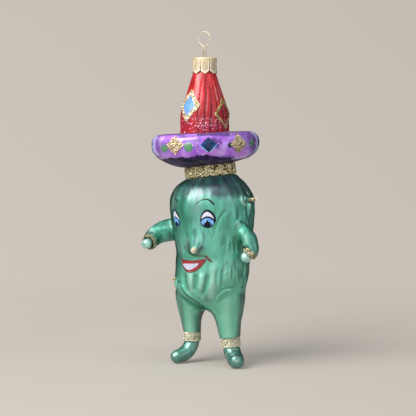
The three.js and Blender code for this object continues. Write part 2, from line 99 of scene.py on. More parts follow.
def catmull(points, t):
    """Points and tangents of a centripetal Catmull-Rom curve at t in 0..1."""
    p = np.array(points, float)
    n = len(p)
    ext = np.vstack([2 * p[0] - p[1], p, 2 * p[-1] - p[-2]])
    s = np.clip(np.asarray(t, float), 0, 1) * (n - 1)
    i = np.minimum(s.astype(int), n - 2)
    w = (s - i)[:, None]
    p0, p1, p2, p3 = ext[i], ext[i + 1], ext[i + 2], ext[i + 3]
    d0, d1, d2 = (np.maximum(np.linalg.norm(b - a, axis=1), 1e-6)[:, None] ** 0.5 for a, b in ((p0, p1), (p1, p2), (p2, p3)))
    t1 = ((p1 - p0) / d0 - (p2 - p0) / (d0 + d1) + (p2 - p1) / d1) * d1
    t2 = ((p2 - p1) / d1 - (p3 - p1) / (d1 + d2) + (p3 - p2) / d2) * d1
    c2, c3 = -3 * p1 + 3 * p2 - 2 * t1 - t2, 2 * p1 - 2 * p2 + t1 + t2
    pos = p1 + t1 * w + c2 * w**2 + c3 * w**3
    tan = t1 + 2 * c2 * w + 3 * c3 * w**2
    return pos, tan / np.linalg.norm(tan, axis=1)[:, None]


def unit(v):
    v = np.asarray(v, float)
    return v / np.maximum(np.linalg.norm(v, axis=-1, keepdims=True), 1e-12)


def ease(x, a, b):
    """0 before a, 1 after b, smooth between; a may be above b."""
    t = np.clip((np.asarray(x, float) - a) / (b - a), 0, 1)
    return t * t * (3 - 2 * t)


def wave_noise(p, seed, scale, count=7):
    """Smooth wobble from a few seeded sine waves, about -1..1."""
    r = np.random.default_rng(seed)
    out = 0
    for _ in range(count):
        k = unit(r.normal(size=3)) * r.uniform(0.6, 1.5) / scale * TAU
        out = out + np.sin(p @ k + r.uniform(0, TAU))
    return out / math.sqrt(count)


def resample(points, n, closed=False):
    """n points evenly spaced along a smooth curve through the given 2-D points."""
    p = np.array(points, float)
    if closed:
        p = np.vstack([p[-2:], p, p[:3]])
    q, _ = catmull(p, np.linspace(0, 1, 40 * len(p)))
    if closed:
        m = len(points)
        k = 40 * len(p) - 1
        lo, hi = 2 / (len(p) - 1), (2 + m) / (len(p) - 1)
        q = q[int(round(lo * k)) : int(round(hi * k)) + 1]
    s = np.concatenate([[0], np.cumsum(np.linalg.norm(np.diff(q, axis=0), axis=1))])
    at = np.linspace(0, s[-1], n, endpoint=not closed)
    return np.stack([np.interp(at, s, q[:, k]) for k in range(q.shape[1])], -1)


def straight(points, n):
    """n points round a closed polygon with straight sides, corners kept."""
    p = np.array(points, float)
    per = n // len(p)
    out = []
    for i in range(len(p)):
        a, b = p[i], p[(i + 1) % len(p)]
        out += [a + (b - a) * k / per for k in range(per)]
    return np.array(out)


def inside(poly, q):
    x, y = q[:, 0], q[:, 1]
    hit = np.zeros(len(q), bool)
    for (x0, y0), (x1, y1) in zip(poly, np.roll(poly, -1, axis=0)):
        cross = (y0 > y) != (y1 > y)
        with np.errstate(divide="ignore", invalid="ignore"):
            hit ^= cross & (x < (x1 - x0) * (y - y0) / (y1 - y0) + x0)
    return hit


# ------------------------------------------------------------- mesh helpers
def quads_between(a, b, n):
    """Quads between two closed rows that start at vertex a and b."""
    j = np.arange(n)
    k = (j + 1) % n
    return np.stack([a + j, a + k, b + k, b + j], -1)


def tube(rows, start=True, end=True):
    """A closed tube from rows (m, n, 3), each end drawn to a point."""
    m, n, _ = rows.shape
    v = [rows.reshape(-1, 3)]
    q = np.concatenate([quads_between(i * n, i * n + n, n) for i in range(m - 1)])
    t = []
    j = np.arange(n)
    k = (j + 1) % n
    if start:
        v.append(rows[0].mean(0)[None])
        t.append(np.stack([np.full(n, m * n), k, j], -1))
    if end:
        v.append(rows[-1].mean(0)[None])
        c = m * n + int(start)
        t.append(np.stack([np.full(n, c), (m - 1) * n + j, (m - 1) * n + k], -1))
    return np.concatenate(v), q, (np.concatenate(t) if t else np.zeros((0, 3), int))


def torus(rows):
    """Rows (m, n, 3) closed both ways."""
    m, n, _ = rows.shape
    q = np.concatenate([quads_between(i * n, ((i + 1) % m) * n, n) for i in range(m)])
    return rows.reshape(-1, 3), q, np.zeros((0, 3), int)


def join(parts):
    v, q, t, at = [], [], [], 0
    for a, b, c in parts:
        v.append(a)
        q.append(b + at)
        t.append(c + at)
        at += len(a)
    return np.concatenate(v), np.concatenate(q), np.concatenate(t)


def outward(v, q, t):
    """Turns a closed mesh's faces outwards."""
    tri = np.concatenate([q[:, [0, 1, 2]], q[:, [0, 2, 3]], t]) if len(q) else t
    w = v - v.mean(0)
    a, b, c = w[tri[:, 0]], w[tri[:, 1]], w[tri[:, 2]]
    if np.einsum("ij,ij->i", a, np.cross(b, c)).sum() < 0:
        q, t = q[:, ::-1], t[:, ::-1]
    return v, q, t


def make(name, shape, material, body="glass", nodes=(), soft=None, attrs=None, flip=True):
    v, q, t = outward(*shape) if flip else shape
    me = bpy.data.meshes.new(name)
    me.vertices.add(len(v))
    me.vertices.foreach_set("co", (v * MM).astype(np.float32).ravel())
    index = np.concatenate([q.ravel(), t.ravel()]).astype(np.int32)
    me.loops.add(len(index))
    me.loops.foreach_set("vertex_index", index)
    me.polygons.add(len(q) + len(t))
    starts = np.concatenate([np.arange(len(q)) * 4, len(q) * 4 + np.arange(len(t)) * 3]).astype(np.int32)
    me.polygons.foreach_set("loop_start", starts)
    me.update(calc_edges=True)
    me.polygons.foreach_set("use_smooth", np.full(len(me.polygons), soft != 0))
    if soft:
        me.set_sharp_from_angle(angle=math.radians(soft))
    for key, values in (attrs or {}).items():
        at = me.attributes.new(key, "FLOAT", "POINT")
        at.data.foreach_set("value", np.asarray(values, np.float32))
    me.update()
    o = bpy.data.objects.new(name, me)
    scene.collection.objects.link(o)
    me.materials.append(material)
    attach(o, body)
    if nodes:
        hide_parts(*nodes)
    return o


# ---------------------------------------------------------------- materials
def lin(r, g, b):
    f = lambda c: c / 255 / 12.92 if c <= 10.31475 else ((c / 255 + 0.055) / 1.055) ** 2.4
    return (f(r), f(g), f(b), 1.0)


class Look:
    """A material under construction: a Principled shader and its nodes."""

    def __init__(self, name):
        self.m = bpy.data.materials.new(name)
        self.m.use_nodes = True
        self.t = self.m.node_tree
        self.t.nodes.clear()
        out = self.t.nodes.new("ShaderNodeOutputMaterial")
        self.b = self.t.nodes.new("ShaderNodeBsdfPrincipled")
        self.t.links.new(self.b.outputs[0], out.inputs[0])
        self.place = self.t.nodes.new("ShaderNodeTexCoord").outputs["Object"]

    def set(self, **values):
        for key, value in values.items():
            self.b.inputs[key.replace("_", " ")].default_value = value
        return self

    def link(self, a, b):
        self.t.links.new(a, b)

    def node(self, kind, **props):
        n = self.t.nodes.new(kind)
        for key, value in props.items():
            setattr(n, key, value)
        return n

    def scaled(self, x, y, z):
        n = self.node("ShaderNodeMapping")
        n.inputs["Scale"].default_value = (x, y, z)
        self.link(self.place, n.inputs["Vector"])
        return n.outputs[0]

    def noise(self, vector, scale, detail=3.0, rough=0.5, warp=0.0):
        n = self.node("ShaderNodeTexNoise")
        n.inputs["Scale"].default_value = scale
        n.inputs["Detail"].default_value = detail
        n.inputs["Roughness"].default_value = rough
        n.inputs["Distortion"].default_value = warp
        self.link(vector, n.inputs["Vector"])
        return n.outputs["Fac"]

    def cells(self, vector, scale, feature="F1"):
        n = self.node("ShaderNodeTexVoronoi", feature=feature)
        n.inputs["Scale"].default_value = scale
        self.link(vector, n.inputs["Vector"])
        return n

    def ramp(self, value, *stops):
        n = self.node("ShaderNodeValToRGB")
        e = n.color_ramp.elements
        while len(e) < len(stops):
            e.new(0.5)
        for el, (at, colour) in zip(e, stops):
            el.position = at
            el.color = colour if len(colour) == 4 else (*colour, 1.0)
        self.link(value, n.inputs[0])
        return n.outputs[0]

    def span(self, value, a, b, c, d):
        n = self.node("ShaderNodeMapRange")
        for k, x in zip(("From Min", "From Max", "To Min", "To Max"), (a, b, c, d)):
            n.inputs[k].default_value = x
        self.link(value, n.inputs["Value"])
        return n.outputs[0]

    def math(self, op, a, b=None):
        n = self.node("ShaderNodeMath", operation=op)
        for k, x in enumerate((a, b)):
            if x is None:
                continue
            if isinstance(x, (int, float)):
                n.inputs[k].default_value = x
            else:
                self.link(x, n.inputs[k])
        return n.outputs[0]

    def mix(self, fac, a, b, blend="MIX"):
        n = self.node("ShaderNodeMix", data_type="RGBA", blend_type=blend)
        for k, x in ((0, fac), (6, a), (7, b)):
            if isinstance(x, (int, float, tuple)):
                n.inputs[k].default_value = x
            else:
                self.link(x, n.inputs[k])
        return n.outputs[2]

    def attribute(self, name):
        return self.node("ShaderNodeAttribute", attribute_name=name).outputs["Fac"]

    def bump(self, height, strength, distance):
        n = self.node("ShaderNodeBump")
        n.inputs["Strength"].default_value = strength
        n.inputs["Distance"].default_value = distance
        self.link(height, n.inputs["Height"])
        self.link(n.outputs[0], self.b.inputs["Normal"])

    def colour(self, value):
        self.link(value, self.b.inputs["Base Color"])

    def rough(self, value):
        self.link(value, self.b.inputs["Roughness"])


def green_lacquer(name, dark, mid, light, metal=0.72, rough=(0.36, 0.5), coat=(1.0, 0.24)):
    k = Look(name)
    streak = k.noise(k.scaled(1, 1, 0.13), 430, 4.0, 0.55, 0.25)
    cloud = k.noise(k.place, 85, 3.0, 0.5, 0.3)
    both = k.math("ADD", k.math("MULTIPLY", streak, 0.5), k.math("MULTIPLY", cloud, 0.5))
    tone = k.ramp(both, (0.39, dark), (0.5, mid), (0.61, light))
    # pale: paler paint low on the body and on the legs, with a painted highlight down the middle of each leg
    tone = k.mix(k.attribute("pale"), tone, (0.21, 0.66, 0.46, 1))
    silver = k.ramp(k.noise(k.scaled(1, 1, 0.45), 62, 2.0, 0.5, 0.4), (0.5, (0, 0, 0)), (0.68, (1, 1, 1)))
    tone = k.mix(k.math("MULTIPLY", silver, 0.4), tone, (0.2, 0.36, 0.33, 1))
    # painted shade in the grooves of the relief, and a painted highlight on its crests
    groove = k.span(k.attribute("relief"), -0.45, -0.06, 1.0, 0.0)
    tone = k.mix(k.math("MULTIPLY", groove, 0.3), tone, (dark[0] * 0.6, dark[1] * 0.5, dark[2] * 0.65, 1))
    crest = k.span(k.attribute("relief"), 0.05, 0.42, 0.0, 1.0)
    tone = k.mix(k.math("MULTIPLY", crest, 0.42), tone, (0.36, 0.74, 0.6, 1))
    tone = k.mix(k.attribute("grey"), tone, (0.2, 0.2, 0.25, 1))
    # painted highlights, painted shade, and the painted shade and dark reflection under the hat band
    tone = k.mix(k.attribute("gleam"), tone, (0.55, 0.86, 0.76, 1))
    tone = k.mix(k.attribute("shade"), tone, (0.026, 0.042, 0.062, 1))
    tone = k.mix(k.attribute("shade_under_hat"), tone, (0.036, 0.048, 0.078, 1))
    k.colour(tone)
    matte = k.attribute("matte")
    edge = k.node("ShaderNodeLayerWeight")
    edge.inputs["Blend"].default_value = 0.5
    rim = k.span(edge.outputs["Facing"], 0.46, 0.88, 0.0, 1.0)
    keep = k.span(rim, 0.0, 1.0, 1.0, 0.15)
    base_rough = k.math("ADD", k.span(k.noise(k.place, 800, 4.0, 0.6), 0.3, 0.7, *rough), k.math("MULTIPLY", matte, 0.3))
    k.rough(k.math("MULTIPLY", base_rough, k.span(rim, 0.0, 1.0, 1.0, 0.55)))
    k.link(k.span(rim, 0.0, 1.0, metal, 1.0), k.b.inputs["Metallic"])
    k.link(k.math("MULTIPLY", k.span(matte, 0.0, 1.0, coat[0], 0.05), keep), k.b.inputs["Coat Weight"])
    fine = k.noise(k.scaled(1, 1, 0.35), 2600, 3.0, 0.6)
    k.bump(fine, 0.12, 0.0001)
    k.set(IOR=1.5, Coat_Roughness=coat[1], Coat_IOR=1.62, Specular_Tint=(0.34, 0.42, 0.42, 1.0))
    return k.m


GREEN = green_lacquer("green_lacquer", (0.055, 0.3, 0.2, 1), (0.095, 0.46, 0.32, 1), (0.16, 0.62, 0.46, 1))
GREEN_LIMB = green_lacquer("green_lacquer_arm", (0.055, 0.3, 0.2, 1), (0.095, 0.44, 0.31, 1), (0.16, 0.6, 0.45, 1), 0.72, (0.4, 0.52), (0.45, 0.36))
GREEN_FOOT = green_lacquer("green_lacquer_foot", (0.05, 0.18, 0.14, 1), (0.08, 0.27, 0.22, 1), (0.14, 0.4, 0.34, 1), 0.6, (0.38, 0.5), (1.0, 0.3))


def red_lacquer():
    k = Look("red_lacquer")
    streak = k.noise(k.scaled(1, 1, 0.12), 900, 4.0, 0.6, 0.3)
    tone = k.ramp(streak, (0.3, lin(160, 16, 24)), (0.52, lin(204, 28, 34)), (0.72, lin(224, 48, 50)))
    # painted shade in the flute grooves, then painted highlights (gleam) and painted shade (shade), which also dulls
    # the coat
    groove = k.span(k.attribute("relief"), -0.3, 0.0, 1.0, 0.0)
    tone = k.mix(k.math("MULTIPLY", groove, 0.8), tone, lin(96, 12, 28))
    tone = k.mix(k.attribute("gleam"), tone, lin(255, 186, 188))
    tone = k.mix(k.attribute("shade"), tone, lin(104, 14, 28))
    k.colour(tone)
    k.rough(k.math("ADD", k.span(k.noise(k.place, 700, 3.0), 0.3, 0.7, 0.4, 0.54), k.math("MULTIPLY", k.attribute("shade"), 0.25)))
    k.bump(k.noise(k.scaled(1, 1, 0.4), 1500, 3.0), 0.12, 0.0001)
    k.link(k.span(k.attribute("shade"), 0.0, 1.0, 0.5, 0.05), k.b.inputs["Coat Weight"])
    k.set(Metallic=0.3, Coat_Roughness=0.12, Coat_IOR=1.5, Sheen_Weight=0.35, Sheen_Roughness=0.35, Sheen_Tint=(1.0, 0.2, 0.2, 1.0))
    return k.m


RED = red_lacquer()


def purple_lacquer():
    k = Look("purple_lacquer")
    cloud = k.noise(k.place, 170, 4.0, 0.6, 0.4)
    tone = k.ramp(cloud, (0.32, lin(164, 96, 230)), (0.5, lin(194, 134, 252)), (0.68, lin(222, 184, 255)))
    pink = k.ramp(k.noise(k.scaled(1, 1, 0.6), 90, 2.0), (0.5, (0, 0, 0)), (0.72, (1, 1, 1)))
    tone = k.mix(k.math("MULTIPLY", pink, 0.4), tone, lin(214, 120, 222))
    # painted marks: dark magenta shade, the red crown's reflection, pale rim highlights, and navy dark reflections and
    # shade
    tone = k.mix(k.attribute("magenta_shade"), tone, lin(112, 34, 120))
    tone = k.mix(k.attribute("crown_reflection"), tone, lin(168, 44, 84))
    tone = k.mix(k.attribute("rim_highlight"), tone, lin(206, 208, 255))
    tone = k.mix(k.attribute("navy_shade"), tone, lin(36, 34, 92))
    # the underside: painted shade with dark blotches
    blotch = k.ramp(k.noise(k.place, 260, 4.0, 0.65, 0.5), (0.38, lin(32, 20, 58)), (0.55, lin(56, 40, 88)), (0.7, lin(100, 72, 142)))
    tone = k.mix(k.attribute("under"), tone, blotch)
    k.colour(tone)
    k.link(k.math("MULTIPLY", k.span(k.attribute("under"), 0.0, 1.0, 0.62, 0.4), k.math("MULTIPLY", k.span(k.attribute("rim_highlight"), 0.0, 0.6, 1.0, 0.0), k.span(k.attribute("matte"), 0.0, 1.0, 1.0, 0.5))), k.b.inputs["Metallic"])
    k.link(k.span(k.attribute("under"), 0.0, 1.0, 0.5, 0.1), k.b.inputs["Specular IOR Level"])
    k.link(k.math("MULTIPLY", k.span(k.attribute("under"), 0.0, 1.0, 0.45, 0.04), k.span(k.attribute("matte"), 0.0, 1.0, 1.0, 0.15)), k.b.inputs["Coat Weight"])
    k.rough(k.math("ADD", k.span(k.noise(k.place, 420, 3.0), 0.3, 0.7, 0.12, 0.26), k.math("ADD", k.math("MULTIPLY", k.attribute("under"), 0.3), k.math("MULTIPLY", k.attribute("matte"), 0.34))))
    k.bump(k.noise(k.place, 240, 3.0, 0.5), 0.3, 0.0007)
    k.set(Coat_Roughness=0.08, Sheen_Weight=0.1, Sheen_Roughness=0.3, Sheen_Tint=(0.72, 0.78, 1.0, 1.0))
    return k.m


PURPLE = purple_lacquer()


def pearl_lacquer():
    k = Look("pearl_lacquer")
    cloud = k.noise(k.place, 420, 4.0, 0.6)
    k.colour(k.ramp(cloud, (0.3, lin(122, 182, 166)), (0.55, lin(170, 216, 206)), (0.72, lin(208, 236, 230))))
    k.rough(k.span(k.noise(k.place, 900, 3.0), 0.3, 0.7, 0.28, 0.4))
    k.bump(k.noise(k.place, 1400, 3.0), 0.2, 0.00015)
    k.set(Metallic=0.35, Coat_Weight=0.4, Coat_Roughness=0.12)
    return k.m


PEARL = pearl_lacquer()


def gold_base(name="gold_glitter_base", dim=1.0, blue=1.0):
    k = Look(name)
    grains = k.cells(k.place, 1500)
    k.colour(k.ramp(grains.outputs["Distance"], (0.0, lin(214 * dim, 198 * dim, 144 * dim * blue)), (0.55, lin(170 * dim, 150 * dim, 98 * dim * blue)), (0.9, lin(104 * dim, 88 * dim, 52 * dim * blue))))
    k.rough(k.span(grains.outputs["Distance"], 0.0, 0.8, 0.38, 0.7))
    k.bump(grains.outputs["Distance"], 0.9, 0.0004)
    k.set(Metallic=0.8)
    return k.m


def gold_flake(name, low, mid, high, metal=0.9):
    k = Look(name)
    tone = k.ramp(k.attribute("shade"), (0.0, low), (0.5, mid), (1.0, high))
    k.colour(k.mix(k.math("MULTIPLY", k.noise(k.place, 2400, 2.0), 0.35), tone, high))
    k.rough(k.span(k.attribute("shade"), 0, 1, 0.42, 0.2))
    k.bump(k.noise(k.place, 6000, 2.0), 0.15, 0.00005)
    k.set(Metallic=metal)
    return k.m


GOLD_BASE = gold_base()
GOLD_DIM = gold_base("gold_glitter_base_dark", 0.62)
SAND_BASE = gold_base("gold_glitter_base_sand", 0.86, 1.12)
STRAW_BASE = gold_base("gold_glitter_base_straw", 0.9, 1.2)
OLIVE_BASE = gold_base("gold_glitter_base_olive", 0.58, 1.15)
GOLD = gold_flake("gold_glitter", lin(150, 130, 80), lin(220, 204, 146), lin(254, 246, 212), 0.6)
SAND = gold_flake("gold_glitter_sand", lin(140, 118, 84), lin(196, 176, 138), lin(236, 220, 190), 0.6)
BRONZE = gold_flake("gold_glitter_bronze", lin(104, 86, 46), lin(164, 140, 84), lin(224, 202, 148), 0.7)
STRAW = gold_flake("gold_glitter_straw", lin(150, 146, 112), lin(198, 196, 166), lin(238, 236, 218), 0.5)
OLIVE = gold_flake("gold_glitter_olive", lin(84, 86, 60), lin(134, 136, 104), lin(212, 210, 176), 0.6)
PALE_GOLD = gold_flake("gold_glitter_pale", lin(182, 160, 108), lin(226, 210, 164), lin(250, 240, 216), 0.6)
CREAM = gold_flake("gold_glitter_cream", lin(206, 190, 150), lin(238, 228, 200), lin(254, 250, 238), 0.4)
PINK = gold_flake("sparkle", lin(208, 120, 150), lin(240, 184, 200), lin(255, 240, 246), 0.6)


def enamel(name, base, dark, rough=0.25, metal=0.0, scale=700, coat=0.5, grain=0.0, spec=0.5):
    k = Look(name)
    cloud = k.noise(k.place, scale, 4.0, 0.6)
    k.colour(k.ramp(cloud, (0.33, dark), (0.6, base)))
    k.rough(k.span(k.noise(k.place, scale * 2, 3.0), 0.3, 0.7, rough * 0.8, rough * 1.3))
    k.bump(k.noise(k.place, 2200, 3.0), 0.15 + grain, 0.0001 + 0.0002 * grain)
    k.set(Metallic=metal, Coat_Weight=coat, Coat_Roughness=0.1, Specular_IOR_Level=spec)
    return k.m


EYE_WHITE = enamel("enamel_eye_white", lin(214, 217, 228), lin(194, 197, 214), 0.35)
WHITE = enamel("enamel_white", lin(194, 196, 214), lin(172, 174, 198), 0.35)
BLACK = enamel("enamel_black", lin(8, 20, 38), lin(3, 9, 20), 0.4, 0.0, 700, 0.05, 0.0, 0.22)
BROW = enamel("enamel_dark_green", lin(22, 62, 50), lin(10, 36, 30), 0.35)
LINE = enamel("enamel_line_green", lin(62, 128, 102), lin(50, 110, 86), 0.4, 0.4)
FAINT = enamel("enamel_faint_line", lin(96, 138, 108), lin(80, 124, 96), 0.4, 0.4)
NAVY = enamel("enamel_navy", lin(26, 76, 128), lin(8, 24, 58), 0.24, 0.5, 420, 0.3, 0.6)
IRIS = enamel("enamel_iris", lin(118, 172, 226), lin(76, 134, 204), 0.25)
SKY = enamel("enamel_sky_blue", lin(110, 160, 230), lin(88, 142, 220), 0.42, 0.0, 700, 0.1)
EDGE = enamel("enamel_light_edge", lin(150, 206, 250), lin(110, 176, 236), 0.2, 0.2)
LIP = enamel("enamel_red", lin(160, 42, 38), lin(126, 28, 28), 0.38)
LIP_DARK = enamel("enamel_brown_red", lin(102, 42, 38), lin(72, 28, 28), 0.35)
DOT = enamel("enamel_green_dot", lin(100, 148, 114), lin(72, 128, 92), 0.4, 0.15)
DOT_DARK = enamel("enamel_dark_dot", lin(66, 66, 70), lin(40, 40, 50), 0.4, 0.3)


def wire_metal():
    k = Look("wire_metal")
    k.colour(k.mix(k.attribute("shade"), k.ramp(k.noise(k.place, 500, 3.0), (0.3, lin(206, 190, 164)), (0.7, lin(222, 208, 186))), lin(150, 132, 92)))
    k.rough(k.span(k.noise(k.scaled(1, 1, 0.3), 3000, 3.0), 0.3, 0.7, 0.46, 0.6))
    k.bump(k.noise(k.place, 4000, 2.0), 0.1, 0.00004)
    k.set(Metallic=0.3)
    return k.m


def cap_metal():
    k = Look("cap_metal")
    field = k.ramp(k.noise(k.place, 600, 4.0, 0.6), (0.3, lin(214, 192, 148)), (0.7, lin(236, 218, 178)))
    # tone above zero: painted highlight on the panel rims; below zero: the darker grooves and the painted shade inside
    edge = k.mix(k.span(k.attribute("tone"), 0.0, 1.0, 0.0, 1.0), field, lin(255, 250, 226))
    k.colour(k.mix(k.span(k.attribute("tone"), -1.0, 0.0, 1.0, 0.0), edge, lin(96, 60, 40)))
    k.rough(k.span(k.noise(k.place, 1800, 3.0), 0.3, 0.7, 0.28, 0.42))
    k.bump(k.noise(k.place, 3500, 3.0), 0.2, 0.00008)
    k.set(Metallic=0.3)
    return k.m


WIRE, CAP = wire_metal(), cap_metal()


# ------------------------------------------------------ surfaces of the glass
def ring_point(x, z, tilt, r, a, y=0.0):
    t = np.radians(tilt)
    sx = r * np.sin(a)
    return np.stack([x + sx * np.cos(t), y - r * np.cos(a) + 0 * sx, z + sx * np.sin(t)], -1)


def frame_point(at, h, r, a):
    """A point at height h and radius r round a tilted centre {x, z, tilt}."""
    t = math.radians(at["tilt"])
    return ring_point(at["x"] - math.sin(t) * h, at["z"] + math.cos(t) * h, at["tilt"], r, a)


BRIM = {"x": 0.5, "z": -54.6, "tilt": 2.8}
BAND = {"x": 3.2, "z": -67.1, "tilt": 7.8}
BODY = [
    [-70.3, 3.75, 12.7, 6.5], [-71.8, 3.5, 14.6, 5], [-74.0, 3.6, 16.95, 3.5], [-77.0, 4.05, 19.0, 2], [-80.0, 4.35, 20.3, 1],
    [-84.3, 4.5, 20.7, 0], [-90.2, 4.85, 20.35, 0], [-96.1, 4.85, 19.7, 0], [-102.0, 4.9, 18.65, 0], [-107.0, 5.1, 17.9, 0],
    [-111.0, 4.95, 18.0, 0], [-116.0, 4.45, 18.0, 0], [-120.0, 4.1, 17.9, 0], [-123.5, 3.6, 17.2, 0], [-127.0, 3.2, 15.4, 0],
    [-130.0, 3.1, 12.4, 0], [-132.6, 3.1, 8.6, 0], [-134.5, 3.1, 4.4, 0], [-135.3, 3.1, 0.8, 0],
]
NOSE_H = [[-82, 0], [-88, 0.05], [-92.5, 0.2], [-95.5, 0.6], [-98, 1.5], [-100.2, 3.0], [-102.4, 4.35], [-104.0, 4.35], [-105.4, 3.4], [-106.5, 1.8], [-107.3, 0.5], [-108.2, 0]]
NOSE_W = [[-82, 2.4], [-92, 2.9], [-97, 3.4], [-101, 3.8], [-104.5, 3.75], [-108.2, 3.2]]
NOSE_A = [[-82, 10.5], [-92, 9.5], [-99, 8.6], [-108.2, 8.4]]


def wrap(a):
    return np.arctan2(np.sin(a), np.cos(a))


def body_radius(a, z, relief=0.0):
    r = smooth(BODY, z)[..., 1]
    d = wrap(a - np.radians(smooth(NOSE_A, z)[..., 0])) * 18.4
    bump = np.where((z < -82) & (z > -108.2), smooth(NOSE_H, z)[..., 0], 0.0)
    return r + bump * np.exp(-np.abs(d / smooth(NOSE_W, z)[..., 0]) ** 2.4) + relief


def px_paint(p, front, marks):
    """Paint laid on the points p seen from the front along image paths: rows of (path, width, strength)."""
    px = proj(p)
    out = np.zeros(len(px))
    for path, width, strength in marks:
        path = np.array(path, float)
        lo, hi = path.min(0) - 3 * width, path.max(0) + 3 * width
        near = front & (px > lo).all(1) & (px < hi).all(1)
        if not near.any():
            continue
        q = px[near]
        best = np.full(len(q), 1e9)
        for a, b in zip(path[:-1], path[1:]):
            d = b - a
            t = np.clip(((q - a) @ d) / max(d @ d, 1e-9), 0, 1)
            best = np.minimum(best, np.linalg.norm(q - a - t[:, None] * d, axis=1))
        out[near] = np.maximum(out[near], strength * np.exp(-((best / width) ** 2)))
    return out


def body_base(a, z):
    t = smooth(BODY, z)
    return ring_point(t[..., 0], z, t[..., 2], body_radius(a, z), a)


def crown_frame(z):
    return 0.02 * (-z - 12) / 36, BRIM["tilt"] * np.maximum(0, (-z - 20) / 28.4)


CROWN = [[-12.75, 5.1], [-18.9, 5.15], [-20.4, 5.75], [-22.8, 6.6], [-25.7, 7.4], [-31.7, 9.4], [-34.9, 10.5], [-38.2, 11.35], [-42.5, 11.75], [-48.41, 11.9]]
FLUTE_SHARE = [[-12.75, 0], [-19.6, 0], [-21.5, 0.12], [-24.5, 0.4], [-29, 0.65], [-34, 0.95], [-38, 1.25], [-44, 1.35], [-48.41, 1.3]]
_r = np.random.default_rng(11)
FLUTES = np.radians(32 + 3.6) + np.cumsum(np.r_[0, _r.uniform(0.82, 1.18, 22)])[:-1] / 22 * TAU * 22 / 22.0
FLUTES = np.radians(35.6) + (FLUTES - FLUTES[0]) * TAU / (FLUTES[-1] - FLUTES[0] + TAU / 22)
FLUTE_DEEP = _r.uniform(0.6, 1.2, 22)
FLUTE_DEEP *= 1 - 0.75 * np.exp(-((np.arctan2(np.sin(FLUTES - math.radians(-2)), np.cos(FLUTES - math.radians(-2))) / 0.33) ** 2))


def crown_relief(a, z):
    share = smooth(FLUTE_SHARE, z)[..., 0]
    r = smooth(CROWN, z)[..., 0]
    sway = 0.05 * np.sin(z / 7.0 + 3 * a)
    out = 0.0
    for at, deep in zip(FLUTES, FLUTE_DEEP):
        d = wrap(a + sway - at) * r
        out = out - 0.42 * deep * np.exp(-((d / 0.55) ** 2))
    return share * (out + 0.1)


def crown_point(a, z):
    x, tilt = crown_frame(z)
    return ring_point(x, z, tilt, smooth(CROWN, z)[..., 0] + crown_relief(a, z), a)


BRIM_PROFILE = np.array(
    [[5.85, 9.4], [5.9, 13.0], [5.95, 17.0], [5.95, 20.5], [5.75, 22.6], [5.1, 24.2], [3.8, 25.4], [1.6, 25.98], [-0.8, 26.0], [-3.0, 25.4], [-5.0, 23.95], [-7.0, 21.0], [-8.35, 17.6], [-9.2, 14.4], [-9.6, 12.4]]
)


def brim_wobble(a, h):
    p = np.stack([np.sin(a) * 20, np.cos(a) * 20, h * 1.3 + 0 * a], -1)
    return 0.11 * wave_noise(p, 3, 17.0) + 0.05 * wave_noise(p, 4, 8.0)


_dense, _ = catmull(BRIM_PROFILE, np.linspace(0, 1, 600))
_len = np.r_[0, np.cumsum(np.linalg.norm(np.diff(_dense, axis=0), axis=1))]
BRIM_MID = float(np.interp(0, -(_dense[:, 0] - 0.4), _len))


def brim_point(a, s):
    """s runs along the profile from the rim's widest line, upwards positive."""
    at = np.clip(BRIM_MID - s, 0, _len[-1])
    h, r = np.interp(at, _len, _dense[:, 0]), np.interp(at, _len, _dense[:, 1])
    fade = ease(at, 0.5, 4.0) * (1 - ease(at, _len[-1] - 6.0, _len[-1] - 2.0))
    w = brim_wobble(a, h) * fade
    t = math.radians(BRIM["tilt"])
    low = ease(h, -6.5, -9.6)
    t2 = np.radians(BRIM["tilt"] + (BAND["tilt"] - BRIM["tilt"]) * low)
    cx = BRIM["x"] + (BAND["x"] - 0.35 - BRIM["x"]) * low
    x0, z0 = cx - math.sin(t) * h * (1 - low), BRIM["z"] + math.cos(t) * h
    sx = (r + w) * np.sin(a)
    return np.stack([x0 + sx * np.cos(t2), -(r + w) * np.cos(a), z0 + sx * np.sin(t2)], -1)


def normals(surface, u, v, du=2e-3, dv=0.03):
    a = surface(u + du, v) - surface(u - du, v)
    b = surface(u, v + dv) - surface(u, v - dv)
    n = unit(np.cross(a, b))
    out = np.stack([np.sin(u), -np.cos(u), 0 * u], -1)
    return n * np.where(np.einsum("ij,ij->i", n, out) < 0, -1, 1)[:, None]


def find(surface, pixels, u0, v0):
    """Surface coordinates seen at these image points, from a first guess."""
    px = np.atleast_2d(np.array(pixels, float))
    u, v = np.zeros(len(px)) + u0, np.zeros(len(px)) + v0
    for _ in range(32):
        p = proj(surface(u, v))
        a = (proj(surface(u + 1e-3, v)) - p) / 1e-3
        b = (proj(surface(u, v + 0.02)) - p) / 0.02
        r = px - p
        det = a[:, 0] * b[:, 1] - a[:, 1] * b[:, 0]
        det = np.where(np.abs(det) < 1e-3, 1e-3, det)
        du = (r[:, 0] * b[:, 1] - r[:, 1] * b[:, 0]) / det
        dv = (a[:, 0] * r[:, 1] - a[:, 1] * r[:, 0]) / det
        u += np.clip(du, -0.12, 0.12)
        v += np.clip(dv, -2.5, 2.5)
    return np.stack([u, v], -1)


VIEW_A = math.radians(32)


def face_uv(pixels):
    px = np.atleast_2d(np.array(pixels, float))
    guess_a = VIEW_A + np.arcsin(np.clip((px[:, 0] - 213) / 44, -0.93, 0.93))
    guess_z = -(px[:, 1] - 35.5) * 0.4918
    return find(body_base, px, guess_a, guess_z)


# ----------------------------------------------- relief of the cactus surface
# Grooves and folds as soft strokes in the unrolled surface (arc length, z).
ARC = 18.6


